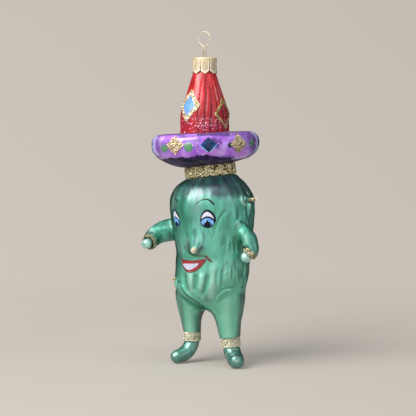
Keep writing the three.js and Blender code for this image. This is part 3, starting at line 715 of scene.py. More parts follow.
class Stroke:
    def __init__(self, uv, depth, width, start=0.25, end=0.25):
        self.p = np.stack([uv[:, 0] * ARC, uv[:, 1]], -1)
        self.depth, self.width = depth, width
        self.start, self.end = start, end
        self.s = np.r_[0, np.cumsum(np.linalg.norm(np.diff(self.p, axis=0), axis=1))]

    def add(self, a, z, out):
        mid = self.p[:, 0].mean()
        x = mid + wrap(a - mid / ARC) * ARC
        reach = self.width * 2.6
        near = (x > self.p[:, 0].min() - reach) & (x < self.p[:, 0].max() + reach) & (z > self.p[:, 1].min() - reach) & (z < self.p[:, 1].max() + reach)
        if not near.any():
            return
        q = np.stack([x[near], z[near]], -1)
        best = np.full(len(q), 1e9)
        at = np.zeros(len(q))
        for i in range(len(self.p) - 1):
            p0, d = self.p[i], self.p[i + 1] - self.p[i]
            l2 = d @ d
            t = np.clip(((q - p0) @ d) / l2, 0, 1)
            dist = np.linalg.norm(q - p0 - t[:, None] * d, axis=1)
            better = dist < best
            best = np.where(better, dist, best)
            at = np.where(better, self.s[i] + t * math.sqrt(l2), at)
        f = at / self.s[-1]
        taper = ease(f, 0, self.start) * ease(f, 1, 1 - self.end) if self.start > 0 else 1.0
        w = self.width * (0.55 + 0.45 * taper)
        out[near] += self.depth * taper * np.exp(-((best / w) ** 2))


STROKES = []


def px_stroke(points, depth, width, start=0.25, end=0.25):
    uv = face_uv(resample(points, 14))
    STROKES.append(Stroke(uv, depth, width, start, end))


# folds of the belly and the seams over the legs, as the photograph shows them
px_stroke([(183.6, 270), (184.4, 281), (186.8, 288.6), (190.8, 295.2)], -0.62, 1.3)
px_stroke([(187.6, 266), (188.6, 274), (190.4, 282), (191.8, 290)], 0.42, 1.8)
px_stroke([(196.4, 272), (194.7, 280), (193.9, 286), (196.0, 293)], -0.66, 1.15)
px_stroke([(200.8, 272), (201.7, 279), (200.6, 287), (198.8, 293)], 0.46, 1.8)
px_stroke([(207.6, 273), (207.0, 281), (204.4, 288.5), (201.6, 295.5)], -0.78, 1.25)
px_stroke([(214.4, 260), (213.0, 272), (211.8, 284), (210.9, 293), (209.4, 302)], 0.5, 2.3)
px_stroke([(218.2, 266), (216.8, 277), (216.6, 287), (214.8, 297)], -0.6, 1.0)
px_stroke([(220.0, 268), (219.2, 280), (218.9, 289)], 0.36, 1.1)
px_stroke([(223.0, 266), (221.9, 276), (221.6, 284), (220.6, 290)], -0.5, 1.0)
px_stroke([(204.6, 295), (203.0, 298.4), (200.8, 301.2)], 0.35, 0.9)
px_stroke([(196.4, 296.6), (199.4, 298.6), (203.0, 303.4)], -0.35, 0.8)
px_stroke([(207.2, 294), (206.4, 299), (206.2, 304)], -0.35, 0.9)
# the edge of the belly over the legs: a dark line on one side, a thin ridge on the other
px_stroke([(178.6, 281.0), (180.6, 285.4), (182.4, 290.0), (185.0, 293.6), (188.5, 297.0), (192.2, 299.6), (196.2, 302.2), (199.8, 304.6), (203.2, 307.2)], -0.95, 0.68, 0.06, 0.1)
px_stroke([(181.6, 283.6), (183.4, 288.4), (186.2, 292.0), (189.7, 295.4), (193.5, 298.0), (197.5, 300.6)], 0.5, 0.6, 0.15, 0.2)
px_stroke([(178.0, 285.6), (179.6, 289.6), (181.8, 293.4), (184.4, 296.6)], 0.25, 0.6, 0.2, 0.3)
px_stroke([(214.6, 305.0), (216.2, 300.8), (218.0, 297.4), (220.4, 294.6), (223.4, 292.4), (226.8, 290.9), (231.4, 289.9), (237.6, 289.9)], 0.46, 0.48, 0.2, 0.12)
px_stroke([(213.0, 301.6), (214.6, 297.8), (216.6, 294.6), (219.4, 291.6), (223.0, 289.4), (228.0, 287.9), (236.0, 287.6)], -0.42, 0.6, 0.2, 0.15)
px_stroke([(229.5, 207.6), (224.6, 211.4), (220.8, 216.2), (217.6, 222), (215.4, 229), (213.0, 234)], -0.32, 0.75)
for x0, y0, x1, y1, bend, deep in (
    (224.6, 262, 223.4, 276, 0.9, -0.4), (228.6, 258, 227.6, 274, -0.8, -0.42), (232.4, 262, 231.8, 282, 0.7, -0.45), (236.2, 257, 236.0, 272, -0.6, -0.4),
    (239.4, 265, 239.2, 284, 0.6, -0.42), (242.4, 262, 242.6, 280, -0.4, -0.4), (225.8, 278, 226.4, 289, -0.5, -0.35), (235.8, 275, 235.6, 287, 0.5, -0.35),
    (221.6, 240, 220.4, 258, 0.8, -0.28), (226.2, 232, 225.4, 252, -0.9, -0.34), (230.4, 238, 230.8, 256, 0.9, -0.38), (234.6, 234, 235.6, 255, -0.6, -0.36),
    (228.4, 214, 227.6, 230, 0.5, -0.22), (233.4, 206, 233.0, 230, -0.6, -0.26), (238.6, 204, 238.6, 222, 0.5, -0.26), (243.4, 206, 244.0, 222, -0.4, -0.24),
    (217.4, 252, 216.2, 268, -0.6, -0.22),
):
    mid = ((x0 + x1) / 2 + bend, (y0 + y1) / 2)
    px_stroke([(x0, y0), mid, (x1, y1)], 0.95 * deep, 1.1, 0.4, 0.4)
for x0, y0, x1, y1 in ((226.6, 264, 225.6, 276), (230.4, 266, 229.8, 281), (234.4, 264, 234.0, 279), (237.6, 268, 237.4, 283), (228.4, 240, 228.4, 252), (232.6, 242, 233.4, 256), (223.6, 244, 222.6, 256)):
    px_stroke([(x0, y0), ((x0 + x1) / 2, (y0 + y1) / 2), (x1, y1)], 0.36, 0.85, 0.3, 0.3)

# the collar of the spine on the head
px_stroke([(242.6, 194.4), (241.6, 197.2), (242.0, 200.4), (244.2, 203.2), (247.2, 204.2)], 0.75, 0.8, 0.2, 0.25)
px_stroke([(243.4, 198.4), (246.0, 198.2), (248.6, 198.2)], 0.8, 0.95, 0.15, 0.1)
px_stroke([(242.4, 191.4), (245.6, 192.6), (249.4, 194.8)], -0.7, 1.2, 0.3, 0.2)
px_stroke([(244.6, 201.0), (247.4, 201.6), (250.6, 201.4)], -0.7, 0.75, 0.2, 0.2)
# the crease above the shoulder
px_stroke([(239.6, 220.8), (243.2, 223.6), (246.6, 226.4), (249.4, 229.2)], -0.6, 1.1, 0.3, 0.15)
px_stroke([(236.6, 219.6), (239.2, 223.6), (241.4, 227.6)], 0.5, 1.6, 0.3, 0.3)

# the same leafy ribs all round the sides and the back, which the photograph doesn't show
_r = np.random.default_rng(23)
for k in range(26):
    base = math.radians(88) + k / 26 * math.radians(222) + _r.uniform(-0.03, 0.03)
    z = _r.uniform(-84, -77)
    while z > -124:
        length = _r.uniform(10, 20)
        low = max(z - length, -127.5)
        sway = _r.uniform(-0.07, 0.07)
        zs = np.linspace(z, low, 8)
        f = np.linspace(0, 1, 8)
        aa = base + sway * np.sin(f * math.pi) + _r.uniform(-0.05, 0.05) * (f - 0.5)
        STROKES.append(Stroke(np.stack([aa, zs], -1), -_r.uniform(0.38, 0.6), _r.uniform(0.8, 1.05), 0.3, 0.3))
        if _r.random() < 0.7:
            STROKES.append(Stroke(np.stack([aa + 0.105, zs], -1), _r.uniform(0.2, 0.36), _r.uniform(0.75, 1.0), 0.35, 0.35))
        z = low - _r.uniform(0.5, 3.5)

SPINES = {
    "spine_head_left": {"a": 92.0, "z": -82.9, "r0": 18.9, "r1": 24.75, "base": 1.8, "bump": 0.9, "wide": 1.9, "gold": 0.42},
    "spine_hip_right": {"a": -43.0, "z": -121.9, "r0": 15.5, "r1": 20.4, "base": 1.6, "bump": 1.0, "wide": 1.7, "gold": 0.45},
    "spine_nose": {"a": 8.2, "z": -103.3, "r0": 20.4, "r1": 24.6, "base": 1.9, "bump": 0.0, "wide": 1.0, "gold": 0.3},
}


def body_relief(a, z):
    shape = np.shape(a)
    a, z = np.ravel(a).astype(float), np.ravel(z).astype(float)
    out = np.zeros(len(a))
    for s in STROKES:
        s.add(a, z, out)
    # shallow broad ribs that fade down the face
    side = ease(np.abs(wrap(a)), 0.6, 1.1)
    broad = (0.09 - 0.03 * ease(z, -78, -94) * (1 - 0.4 * side)) * ease(z, -70.6, -73.5)
    out += broad * np.cos(17 * a + 0.9 * np.sin(2 * a + 1) + 0.6) * (1 - ease(z, -112, -126))
    p = np.stack([np.sin(a) * 19, np.cos(a) * 19, z], -1)
    calm = 1 - 0.6 * (1 - side) * ease(z, -76, -84) * (1 - ease(z, -112, -118))
    out += calm * (0.09 * wave_noise(p, 5, 11.0) + 0.05 * wave_noise(p * np.array([1, 1, 0.3]), 6, 4.2))
    for s in SPINES.values():
        d2 = (wrap(a - math.radians(s["a"])) * 19.5) ** 2 + (z - s["z"]) ** 2
        out += s["bump"] * np.exp(-d2 / s["wide"] ** 2)
    out *= 1 - ease(z, -131, -134.8)
    return out.reshape(shape)


def body_point(a, z):
    t = smooth(BODY, z)
    return ring_point(t[..., 0], z, t[..., 2], body_radius(a, z) + body_relief(a, z), a)


_pz = np.concatenate([np.linspace(-74, -124, 70), np.linspace(-124.3, -135.3, 60)])
_pr = smooth(BODY, _pz)[:, 1]


def body_distance(p):
    """Signed distance from the cactus body, without its relief and nose."""
    x, y, z = p[:, 0], p[:, 1], p[:, 2]
    t = smooth(BODY, z)
    rx = (x - t[:, 0]) / np.cos(np.radians(t[:, 2]))
    rho = np.hypot(rx, y)
    best = np.full(len(p), 1e9)
    for r0, z0, r1, z1 in zip(_pr[:-1], _pz[:-1], _pr[1:], _pz[1:]):
        dr, dz = r1 - r0, z1 - z0
        f = np.clip(((rho - r0) * dr + (z - z0) * dz) / (dr * dr + dz * dz), 0, 1)
        best = np.minimum(best, np.hypot(rho - r0 - f * dr, z - z0 - f * dz))
    inner = (rho < t[:, 1]) & (z > -135.3)
    return np.where(inner, -best, best)


# -------------------------------------------------------------------- limbs
LIMBS = {
    "arm_right": [[-9, 1.9, -96.4, 5.6], [-14.5, 2.0, -96.8, 5.75], [-19.8, 1.4, -97.3, 5.65], [-24.7, 0.5, -98.5, 5.35], [-27.2, -1.75, -100.1, 4.85], [-27.35, -5.3, -101.7, 4.25], [-25.75, -9.45, -102.6, 3.75]],
    "arm_left": [[13.4, -1.7, -92.5, 3.7], [19.2, -3.4, -93.9, 3.8], [23.9, -3.9, -95.8, 3.9], [26.9, -3.4, -98.5, 3.9], [28.3, -3.5, -101.5, 3.7], [29.5, -3.94, -104.22, 3.35]],
    "leg_right": [[-4.5, 0.9, -118.5, 7.0], [-6.6, 1.1, -123.3, 8.1], [-8.3, 1.2, -128.3, 8.0], [-8.5, 1.2, -134.3, 7.1], [-8.6, 1.3, -141.6, 5.2], [-8.2, 1.5, -147.4, 4.25]],
    "leg_left": [[10.2, 0.5, -117.5, 7.0], [12.0, 0.7, -122.6, 8.2], [12.85, 0.95, -127.0, 8.5], [13.0, 1.1, -135.5, 7.4], [13.2, 1.2, -141.6, 6.1], [13.8, 1.5, -148.2, 5.1]],
    "foot_right": [[-8.2, 1.45, -151.9, 3.6], [-8.35, 1.1, -153.9, 3.65], [-9.2, -1.1, -156.9, 3.6], [-10.6, -4.2, -158.7, 3.4], [-12.0, -7.1, -159.45, 3.0], [-12.75, -8.7, -159.7, 2.1], [-13.1, -9.5, -159.9, 0.7]],
    "foot_left": [[14.3, 1.75, -153.0, 3.95], [14.8, 1.45, -154.8, 4.1], [16.8, 0.0, -157.2, 4.2], [19.2, -2.0, -158.6, 4.05], [20.9, -3.5, -159.3, 3.4], [21.9, -4.3, -159.7, 2.2], [22.4, -4.75, -159.9, 0.7]],
}
WRISTS = {"arm_right": (-0.011, -0.961, -0.277), "arm_left": (-0.561, -0.35, -0.75)}
# how each limb joins the body: fillet width, ridge height and width, groove depth
SEAMS = {
    "arm_right": (0.8, 0.5, 0.42, 0.25), "arm_left": (1.5, 0.0, 0.6, 0.0),
    "leg_right": (2.2, 0.0, 0.6, 0.0), "leg_left": (2.2, 0.0, 0.6, 0.0),
}


def sample_limb(points, count):
    p = np.array(points, float)
    t = np.linspace(0, 1, count + 1)
    c, d = catmull(p[:, :3], t)
    r = smooth(np.stack([np.linspace(0, 1, len(p)), p[:, 3]], -1), t)[:, 0]
    return c, d, r


def limb_rows(c, d, r, n):
    axis = np.cross(d[0], d[-1])
    ref = unit(axis) if np.linalg.norm(axis) > 0.2 else np.array([0, 1.0, 0])
    u = unit(np.cross(ref, d))
    v = unit(np.cross(d, u))
    a = np.arange(n) / n * TAU
    out = u[:, None] * np.cos(a)[None, :, None] + v[:, None] * np.sin(a)[None, :, None]
    return c[:, None] + out * r[:, None, None], out


def limb_distance(p, name):
    c, _, r = sample_limb(LIMBS[name], 56)
    best = np.full(len(p), 1e9)
    for ci, ri in zip(c, r):
        best = np.minimum(best, np.linalg.norm(p - ci, axis=1) - ri)
    return best


def fillet(name, p, k):
    """Fillet width at p: wide where the legs meet between them and under the raised arm."""
    if name.startswith("leg"):
        return k + 4.0 * ease(p[:, 2], -126.5, -132.5)
    if name == "arm_right":
        return k + 2.6 * ease(p[:, 2], -97.5, -101.5)
    return np.full(len(p), k)


def swell(p, n, other, k):
    """How far to push points out along n so that a fillet of width k forms with the other surface."""
    t = np.zeros(len(p))
    for _ in range(14):
        b = other(p + n * t[:, None])
        f = np.minimum(t, b) - np.maximum(k - np.abs(t - b), 0) ** 2 / (4 * k)
        t = np.clip(t - 0.7 * f, 0, k / 4)
    return t


limb_ends = {}
# painted highlights (GLEAM) and painted shade (SHADE) on the lacquer, along image paths
GLEAM = {
    "arm_right": [([(145.4, 234.4), (150.4, 230.4)], 3.2, 0.7), ([(153.6, 230.4), (152.8, 235)], 2.4, 0.45), ([(156, 237.4), (161, 238.6)], 2.0, 0.25), ([(170.6, 222.4), (171.2, 226.2)], 1.6, 0.6)],
    "arm_left": [([(245.0, 236), (246.2, 242)], 2.2, 0.5), ([(241.8, 229.4), (242.4, 233)], 1.6, 0.35), ([(243, 244), (242.6, 247)], 1.6, 0.3)],
    "leg_right": [([(189.4, 305), (189.6, 329)], 2.6, 0.18)],
    "leg_left": [([(226.5, 298), (226.4, 318), (228.2, 336)], 3.8, 0.22), ([(213.2, 311), (216.2, 322), (219.4, 335)], 1.1, 0.3)],
    "foot_left": [([(235.2, 360.4), (237.4, 361.0)], 1.8, 0.5), ([(227.4, 347.0), (230.2, 352.4)], 1.6, 0.42), ([(226.6, 354.6), (227.2, 357.4)], 1.2, 0.4)],
    "foot_right": [([(196.4, 343), (193.4, 349.6)], 1.6, 0.35), ([(186.6, 346.4), (189.4, 344.6)], 2.6, 0.14), ([(174.4, 354.8), (177.2, 353.4)], 2.4, 0.25)],
    "body": [
        ([(237.6, 223.6), (239.2, 229.0)], 1.9, 0.35), ([(190.2, 268), (190.8, 291)], 2.8, 0.38),
        ([(201.2, 272), (200.6, 289)], 2.3, 0.3), ([(214.4, 262), (212.4, 280), (211.0, 297)], 2.7, 0.36), ([(215.4, 284), (213.4, 297)], 2.0, 0.34), ([(251.0, 208), (251.6, 222)], 1.3, 0.24), ([(177.6, 186.0), (175.0, 194), (172.8, 208)], 2.0, 0.6), ([(186.4, 189), (186.8, 195.6)], 2.2, 0.4), ([(189.4, 186.4), (194.6, 187.4)], 1.6, 0.25), ([(241.6, 184.6), (248.4, 193)], 1.7, 0.5), ([(187.6, 239.0), (188.0, 244.6), (189.0, 248.2)], 1.4, 0.42), ([(200.4, 234.6), (200.2, 241.4)], 1.2, 0.24), ([(197.6, 256.6), (203.6, 254.8)], 1.2, 0.22), ([(225.6, 264), (225.0, 280)], 1.3, 0.25), ([(242.0, 194.6), (241.0, 198.4), (242.6, 202.6), (245.6, 204.6)], 0.9, 0.5),
    ],
    "crown": [([(197.6, 74), (196.8, 84), (195.4, 92), (194.0, 98.6)], 1.5, 0.2), ([(215.6, 88), (217.4, 100)], 1.2, 0.22), ([(187.6, 74), (185.2, 84)], 1.5, 0.2), ([(217.0, 76), (219.4, 88), (221.2, 97)], 1.3, 0.2)],
}
SHADE = {
    "arm_left": [([(250.6, 232), (252.6, 240), (252.0, 248)], 3.0, 0.42), ([(240.4, 233), (241.4, 246)], 1.0, 0.35)],
    "arm_right": [([(156.5, 226.5), (166, 224.0)], 3.4, 0.42), ([(159, 230.6), (166, 229.6)], 2.6, 0.36), ([(169.4, 232), (171.6, 239)], 2.2, 0.45)],
    "leg_right": [([(203.0, 306), (201.2, 320), (200.4, 332)], 3.8, 0.86), ([(180.6, 300), (184.0, 332)], 1.9, 0.55)],
    "leg_left": [([(241.8, 296), (240.4, 318), (238.8, 338)], 3.2, 0.68), ([(214.8, 314), (217.6, 322), (220.8, 336)], 1.4, 0.18)],
    "foot_left": [([(230.6, 356.8), (233.6, 356.4), (238.4, 355.2)], 1.5, 0.75), ([(233.6, 354.4), (236.4, 356.4)], 1.8, 0.45)],
    "body": [
        ([(185.2, 246.2), (185.9, 249.6), (188.2, 252.4), (191.0, 254.2), (194.0, 254.6), (197.0, 253.6)], 0.85, 0.62), ([(196.4, 253.6), (199.8, 251.0), (201.7, 247.8), (202.2, 246.0)], 1.2, 0.8), ([(202.8, 233.0), (204.2, 237.0), (203.9, 241.0), (202.6, 245)], 1.0, 0.5),
        ([(206.5, 185.6), (215, 186), (224, 186.4)], 2.0, 0.55), ([(199, 203.5), (226, 203.5)], 4.5, 0.1), ([(194.4, 231), (195.8, 238), (195.2, 243.6)], 2.5, 0.55), ([(199.4, 249.8), (201.2, 246.8)], 1.1, 0.9),
        ([(178.6, 281.0), (180.6, 285.4), (182.4, 290.0), (185.0, 293.6), (188.5, 297.0), (192.2, 299.6), (196.2, 302.2), (199.8, 304.6), (203.2, 307.2)], 0.85, 0.72),
        ([(249.0, 250), (248.2, 270), (246.0, 286)], 2.0, 0.5), ([(240.0, 186.4), (245.6, 190.6), (250.4, 195.0)], 1.9, 0.4), ([(244.6, 202.8), (250.2, 202.6)], 0.9, 0.5),
        ([(241.0, 221.0), (245.0, 224.6), (249.4, 228.6)], 1.0, 0.6), ([(194.2, 275), (193.8, 288)], 1.0, 0.35), ([(206.4, 274), (205.0, 284), (202.4, 294)], 1.3, 0.4),
        ([(173.4, 216), (173.8, 236), (177.0, 252)], 1.1, 0.25),
    ],
    "crown": [([(205.2, 76.3), (206.0, 94), (207.3, 113)], 1.7, 0.6), ([(204.4, 116), (205.0, 131)], 1.5, 0.55), ([(208.6, 114), (209.6, 131)], 1.1, 0.5), ([(191.4, 120), (190.8, 131)], 0.9, 0.45), ([(216.4, 118), (217.4, 131)], 0.9, 0.4), ([(211.1, 88.8), (213.3, 108.1)], 1.3, 0.6), ([(199.4, 97.4), (196.6, 110), (195.2, 125)], 1.4, 0.62), ([(202.0, 72), (202.6, 90)], 1.8, 0.42), ([(200.6, 90), (200.0, 112)], 1.4, 0.3), ([(202.4, 104), (202.0, 124)], 0.9, 0.4), ([(209.8, 112), (210.4, 128)], 1.0, 0.4), ([(186.4, 118), (185.6, 131)], 1.0, 0.35), ([(199, 129.6), (215, 129.6)], 2.2, 0.35)],
}
MATTE = {
    "arm_right": [([(150, 227.0), (171, 221.5)], 5.2, 1.0), ([(156, 232), (169, 230)], 4.2, 1.0)],
    "arm_left": [([(239, 223), (244, 232), (244.6, 243)], 3.6, 0.9)],
    "body": [([(192.0, 199), (201.0, 199)], 3.0, 0.5), ([(194.6, 226), (194.4, 238), (193.6, 247)], 3.6, 1.0), ([(198.6, 232), (199.0, 238), (198.6, 245)], 2.4, 1.0), ([(177.5, 279), (182, 287), (189, 295)], 3.0, 0.9), ([(201.0, 272), (201.5, 282)], 2.4, 0.7), ([(238.6, 221), (241.5, 229)], 2.6, 0.8), ([(217.6, 277), (216.2, 290)], 2.0, 0.6)],
}



def build_limb(name):
    k, ridge, wide, groove = SEAMS[name]
    c, d, r = sample_limb(LIMBS[name], 130)
    if name in WRISTS:
        bend = ease(np.linspace(0, 1, len(c)), 0.84, 1.0)[:, None]
        d = unit(d * (1 - bend) + unit(WRISTS[name]) * bend)
    n = 96
    rows, out = limb_rows(c, d, r, n)
    p, nn = rows.reshape(-1, 3), out.reshape(-1, 3)
    p = p + nn * (0.07 * wave_noise(p, len(name) + 31, 9.0) + 0.03 * wave_noise(p, len(name) + 47, 4.0))[:, None]
    near = body_distance(p)
    p = p + nn * (ridge * np.exp(-(((near - 1.15) / wide) ** 2)) - groove * np.exp(-(((near - 0.15) / 0.4) ** 2)))[:, None]
    if name == "arm_right":
        second = 0.24 * np.exp(-(((near - 3.3) / 0.5) ** 2)) - 0.3 * np.exp(-(((near - 2.2) / 0.5) ** 2))
        p = p + nn * second[:, None]
    k = fillet(name, p, k)
    close = np.abs(near) < 2 * k + 1
    push = np.zeros(len(p))
    push[close] = swell(p[close], nn[close], body_distance, k[close])
    p = p + nn * push[:, None]
    dark = 0.3 if name == "arm_right" else 0.0
    relief = (ridge * 0.8 * np.exp(-(((near - 1.15) / wide) ** 2)) - dark * np.exp(-(((near - 0.1) / 0.45) ** 2))) * (near > -1)
    shape = tube(p.reshape(rows.shape))
    front = np.einsum("ij,ij->i", nn, CAM - p) > 0
    # painted highlights and painted shade along image paths
    gleam = px_paint(p, front, GLEAM.get(name, ()))
    shade = px_paint(p, front, SHADE.get(name, ()))
    pale = np.full(len(p) + 2, 0.0)
    # the legs: paler paint, plus a painted highlight (lit) down the middle of each leg
    if name.startswith("leg"):
        lit = px_paint(p, front, {"leg_right": [([(189.0, 300), (189.6, 331)], 4.6, 0.4)], "leg_left": [([(227.0, 294), (226.6, 318), (228.4, 338)], 6.4, 0.4)]}[name])
        pale = 0.32 + np.r_[lit, 0, 0]
    make(name, shape, GREEN_LIMB if name.startswith("arm") else GREEN, nodes=[name], attrs={"relief": np.r_[relief, 0, 0], "pale": pale, "gleam": np.r_[gleam, 0, 0], "shade": np.r_[shade, 0, 0], "matte": np.r_[px_paint(p, front, MATTE.get(name, ())), 0, 0]})
    limb_ends[name] = (c[-1], d[-1], r[-1])


for limb_name in ("arm_right", "arm_left", "leg_right", "leg_left"):
    build_limb(limb_name)


# -------------------------------------------------------------------- body
def build_body():
    fine = np.linspace(-70.3, -135.3, 3000)
    rr = smooth(BODY, fine)[:, 1]
    s = np.r_[0, np.cumsum(np.hypot(np.diff(fine), np.diff(rr)))]
    zs = np.interp(np.linspace(0, s[-1], 284), s, fine)
    n = 344
    a = np.arange(n) / n * TAU
    aa, zz = np.meshgrid(a, zs)
    relief = body_relief(aa, zz)
    t = smooth(BODY, zz)
    rows = ring_point(t[..., 0], zz, t[..., 2], body_radius(aa, zz) + relief, aa)
    # normals of the plain body, for the fillets
    flat_a, flat_z = aa.ravel(), zz.ravel()
    nn = normals(body_base, flat_a, flat_z)
    p = rows.reshape(-1, 3)
    push = np.zeros(len(p))
    seam = np.zeros(len(p))
    for name, (k, ridge, wide, groove) in SEAMS.items():
        d = limb_distance(p, name)
        k = fillet(name, p, k)
        close = (d < k + 0.5) & (d > -2.5)
        if close.any():
            push[close] = np.maximum(push[close], swell(p[close], nn[close], lambda q, name=name: limb_distance(q, name), k[close]))
        if name == "arm_right":
            seam -= 0.34 * np.exp(-(((d - 0.1) / 0.5) ** 2))
    p = p + nn * push[:, None]
    collar = [frame_point(BAND, h, 11.0, a) for h in (2.3, 0.0, -2.4)]
    rows = np.concatenate([np.stack(collar), p.reshape(rows.shape)])
    value = np.r_[np.zeros(3 * n), (relief.ravel() + seam), 0, 0]
    # painted shade, with the brim's dark reflection, on the top of the head under the hat band: soft streaks,
    # strongest on the side towards the camera
    wisps = wave_noise(np.stack([np.sin(flat_a) * 19, np.cos(flat_a) * 19, 0.25 * flat_z], -1), 77, 4.2)
    shade_under_hat = 0.9 * ease(flat_z + 0.9 * wisps, -81.0, -76.6) * (0.86 + 0.14 * np.cos(19 * flat_a + 1.2 * np.sin(5 * flat_a)))
    shade_under_hat *= 1 - 0.72 * ease(np.abs(wrap(flat_a - VIEW_A)), math.radians(26), math.radians(78))
    front = np.einsum("ij,ij->i", nn, CAM - p) > 0
    # painted shade and painted highlights along image paths
    dark = px_paint(p, front, SHADE["body"])
    gleam = px_paint(p, front, GLEAM["body"])
    spot = [face_uv([q])[0] for q in ((188.8, 245.6), (196.4, 206.0), (193.8, 199.0), (207.6, 300.0), (181.0, 250.0), (196.6, 226.0), (196.0, 243.0))]
    grey = np.zeros(len(flat_a))
    for (sa, sz), size, strength in zip(spot, ((1.1, 1.7), (2.6, 7.0), (3.4, 3.2), (3.2, 3.0), (1.6, 6.0), (2.0, 7.0), (3.2, 3.4)), (0.8, 0.5, 0.5, 0.35, 0.3, 0.35, 0.3)):
        grey = np.maximum(grey, strength * np.exp(-((wrap(flat_a - sa) * 19 / size[0]) ** 2) - ((flat_z - sz) / size[1]) ** 2))
    shade = np.r_[np.ones(3 * n), dark, 0, 0]
    pale = np.r_[np.zeros(3 * n), 0.46 * ease(flat_z, -102, -116), 0.46, 0.46]
    make("body", tube(rows), GREEN, nodes=["body_shell"], attrs={"relief": value, "shade": shade, "pale": pale, "grey": np.r_[np.zeros(3 * n), grey, 0, 0], "shade_under_hat": np.r_[np.ones(3 * n), shade_under_hat, 0, 0], "gleam": np.r_[np.zeros(3 * n), gleam, 0, 0], "matte": np.r_[np.zeros(3 * n), np.maximum(px_paint(p, front, MATTE["body"]), 0.35 * ease(flat_z, -108, -116)), 0, 0]})


build_body()


def build_foot(name, spigot):
    c, d, r = sample_limb(LIMBS[name], 150)
    s = np.r_[0, np.cumsum(np.linalg.norm(np.diff(c, axis=0), axis=1))]
    tip = 3.3
    u = np.clip((s - (s[-1] - tip)) / tip, 0, 0.995)
    r = np.where(u > 0, np.interp(s[-1] - tip, s, r) * np.sqrt(1 - u**2), r)
    if name == "foot_left":
        r = r * (1 - 0.1 * np.exp(-(((s - 5.4) / 1.1) ** 2)))
    n = 80
    leg = np.array(LIMBS["leg_" + name.split("_")[1]][-1][:3])
    axis = unit(leg - c[0])
    d = d.copy()
    blend = np.linspace(0, 1, 14)[:, None]
    d[:14] = unit(-axis * (1 - blend) + d[:14] * blend)
    rows, out = limb_rows(c, d, r, n)
    p, nn = rows.reshape(-1, 3), out.reshape(-1, 3)
    fade = np.repeat(ease(np.linspace(1, 0, len(c)), 0, 0.15), n)
    p = p + nn * (fade * (0.1 * wave_noise(p, 61 + len(name), 7.0) + 0.04 * wave_noise(p, 67, 3.5)))[:, None]
    low = p[:, 2] + 162.6
    p[:, 2] = np.where(low < 0.7, 0.7 * np.exp(np.minimum(low - 0.7, 0) / 0.7), low) - 162.6
    # rings of the spigot follow the same start direction as the foot's first ring
    first = rows[0]
    offset = first - c[0]
    top = [c[0] + axis * h + unit(offset) * s for h, s in ((4.6, spigot * 0.8), (4.4, spigot), (0.02, spigot))]
    rows = np.concatenate([np.stack(top), p.reshape(rows.shape)])
    front = np.einsum("ij,ij->i", nn, CAM - p) > 0
    # painted highlights and painted shade along image paths
    gleam, shade = (np.r_[np.zeros(3 * n), px_paint(p, front, marks.get(name, ())), 0, 0] for marks in (GLEAM, SHADE))
    make(name, tube(rows), GREEN_FOOT, nodes=[name], attrs={"gleam": gleam, "shade": shade})


build_foot("foot_right", 2.9)
build_foot("foot_left", 3.2)


# ------------------------------------------------------------------ glitter
def flakes(name, p, n, size, seed, material, node_body="glass", lean=0.55, long=1.5, lift=0.35):
    """Tiny closed flakes, each a flat six-sided double cone, laid on points p with normals n."""
    r = np.random.default_rng(seed)
    m = len(p)
    nn = unit(n + r.normal(size=(m, 3)) * lean)
    u = unit(np.cross(nn, r.normal(size=(m, 3))))
    v = np.cross(nn, u)
    s = r.uniform(size[0], size[1], m) / 2
    stretch = r.uniform(1.0, long, m)
    verts = []
    for k in range(6):
        a = k / 6 * TAU
        rr = s * r.uniform(0.75, 1.1, m)
        verts.append(p + n * (s * lift)[:, None] + u * (rr * stretch * math.cos(a))[:, None] + v * (rr * math.sin(a))[:, None])
    thick = s * r.uniform(0.35, 0.6, m)
    verts.append(p + n * (s * lift)[:, None] + nn * thick[:, None])
    verts.append(p + n * (s * lift)[:, None] - nn * thick[:, None])
    v_all = np.stack(verts, 1).reshape(-1, 3)
    tri = [[k, (k + 1) % 6, 6] for k in range(6)] + [[(k + 1) % 6, k, 7] for k in range(6)]
    t = (np.array(tri)[None] + (np.arange(m) * 8)[:, None, None]).reshape(-1, 3)
    # right-handed frame: u x v = nn, so the top faces are already outward
    shade = np.repeat(r.random(m) ** 0.8, 8)
    return make(name, (v_all, np.zeros((0, 4), int), t), material, node_body, soft=0, attrs={"shade": shade}, flip=False)


def band_axes(axis):
    axis = unit(np.array(axis, float))
    ref = np.array([1.0, 0, 0]) if abs(axis[1]) > 0.7 else np.array([0, 1.0, 0])
    u = unit(np.cross(ref, axis))
    return axis, u, np.cross(axis, u)


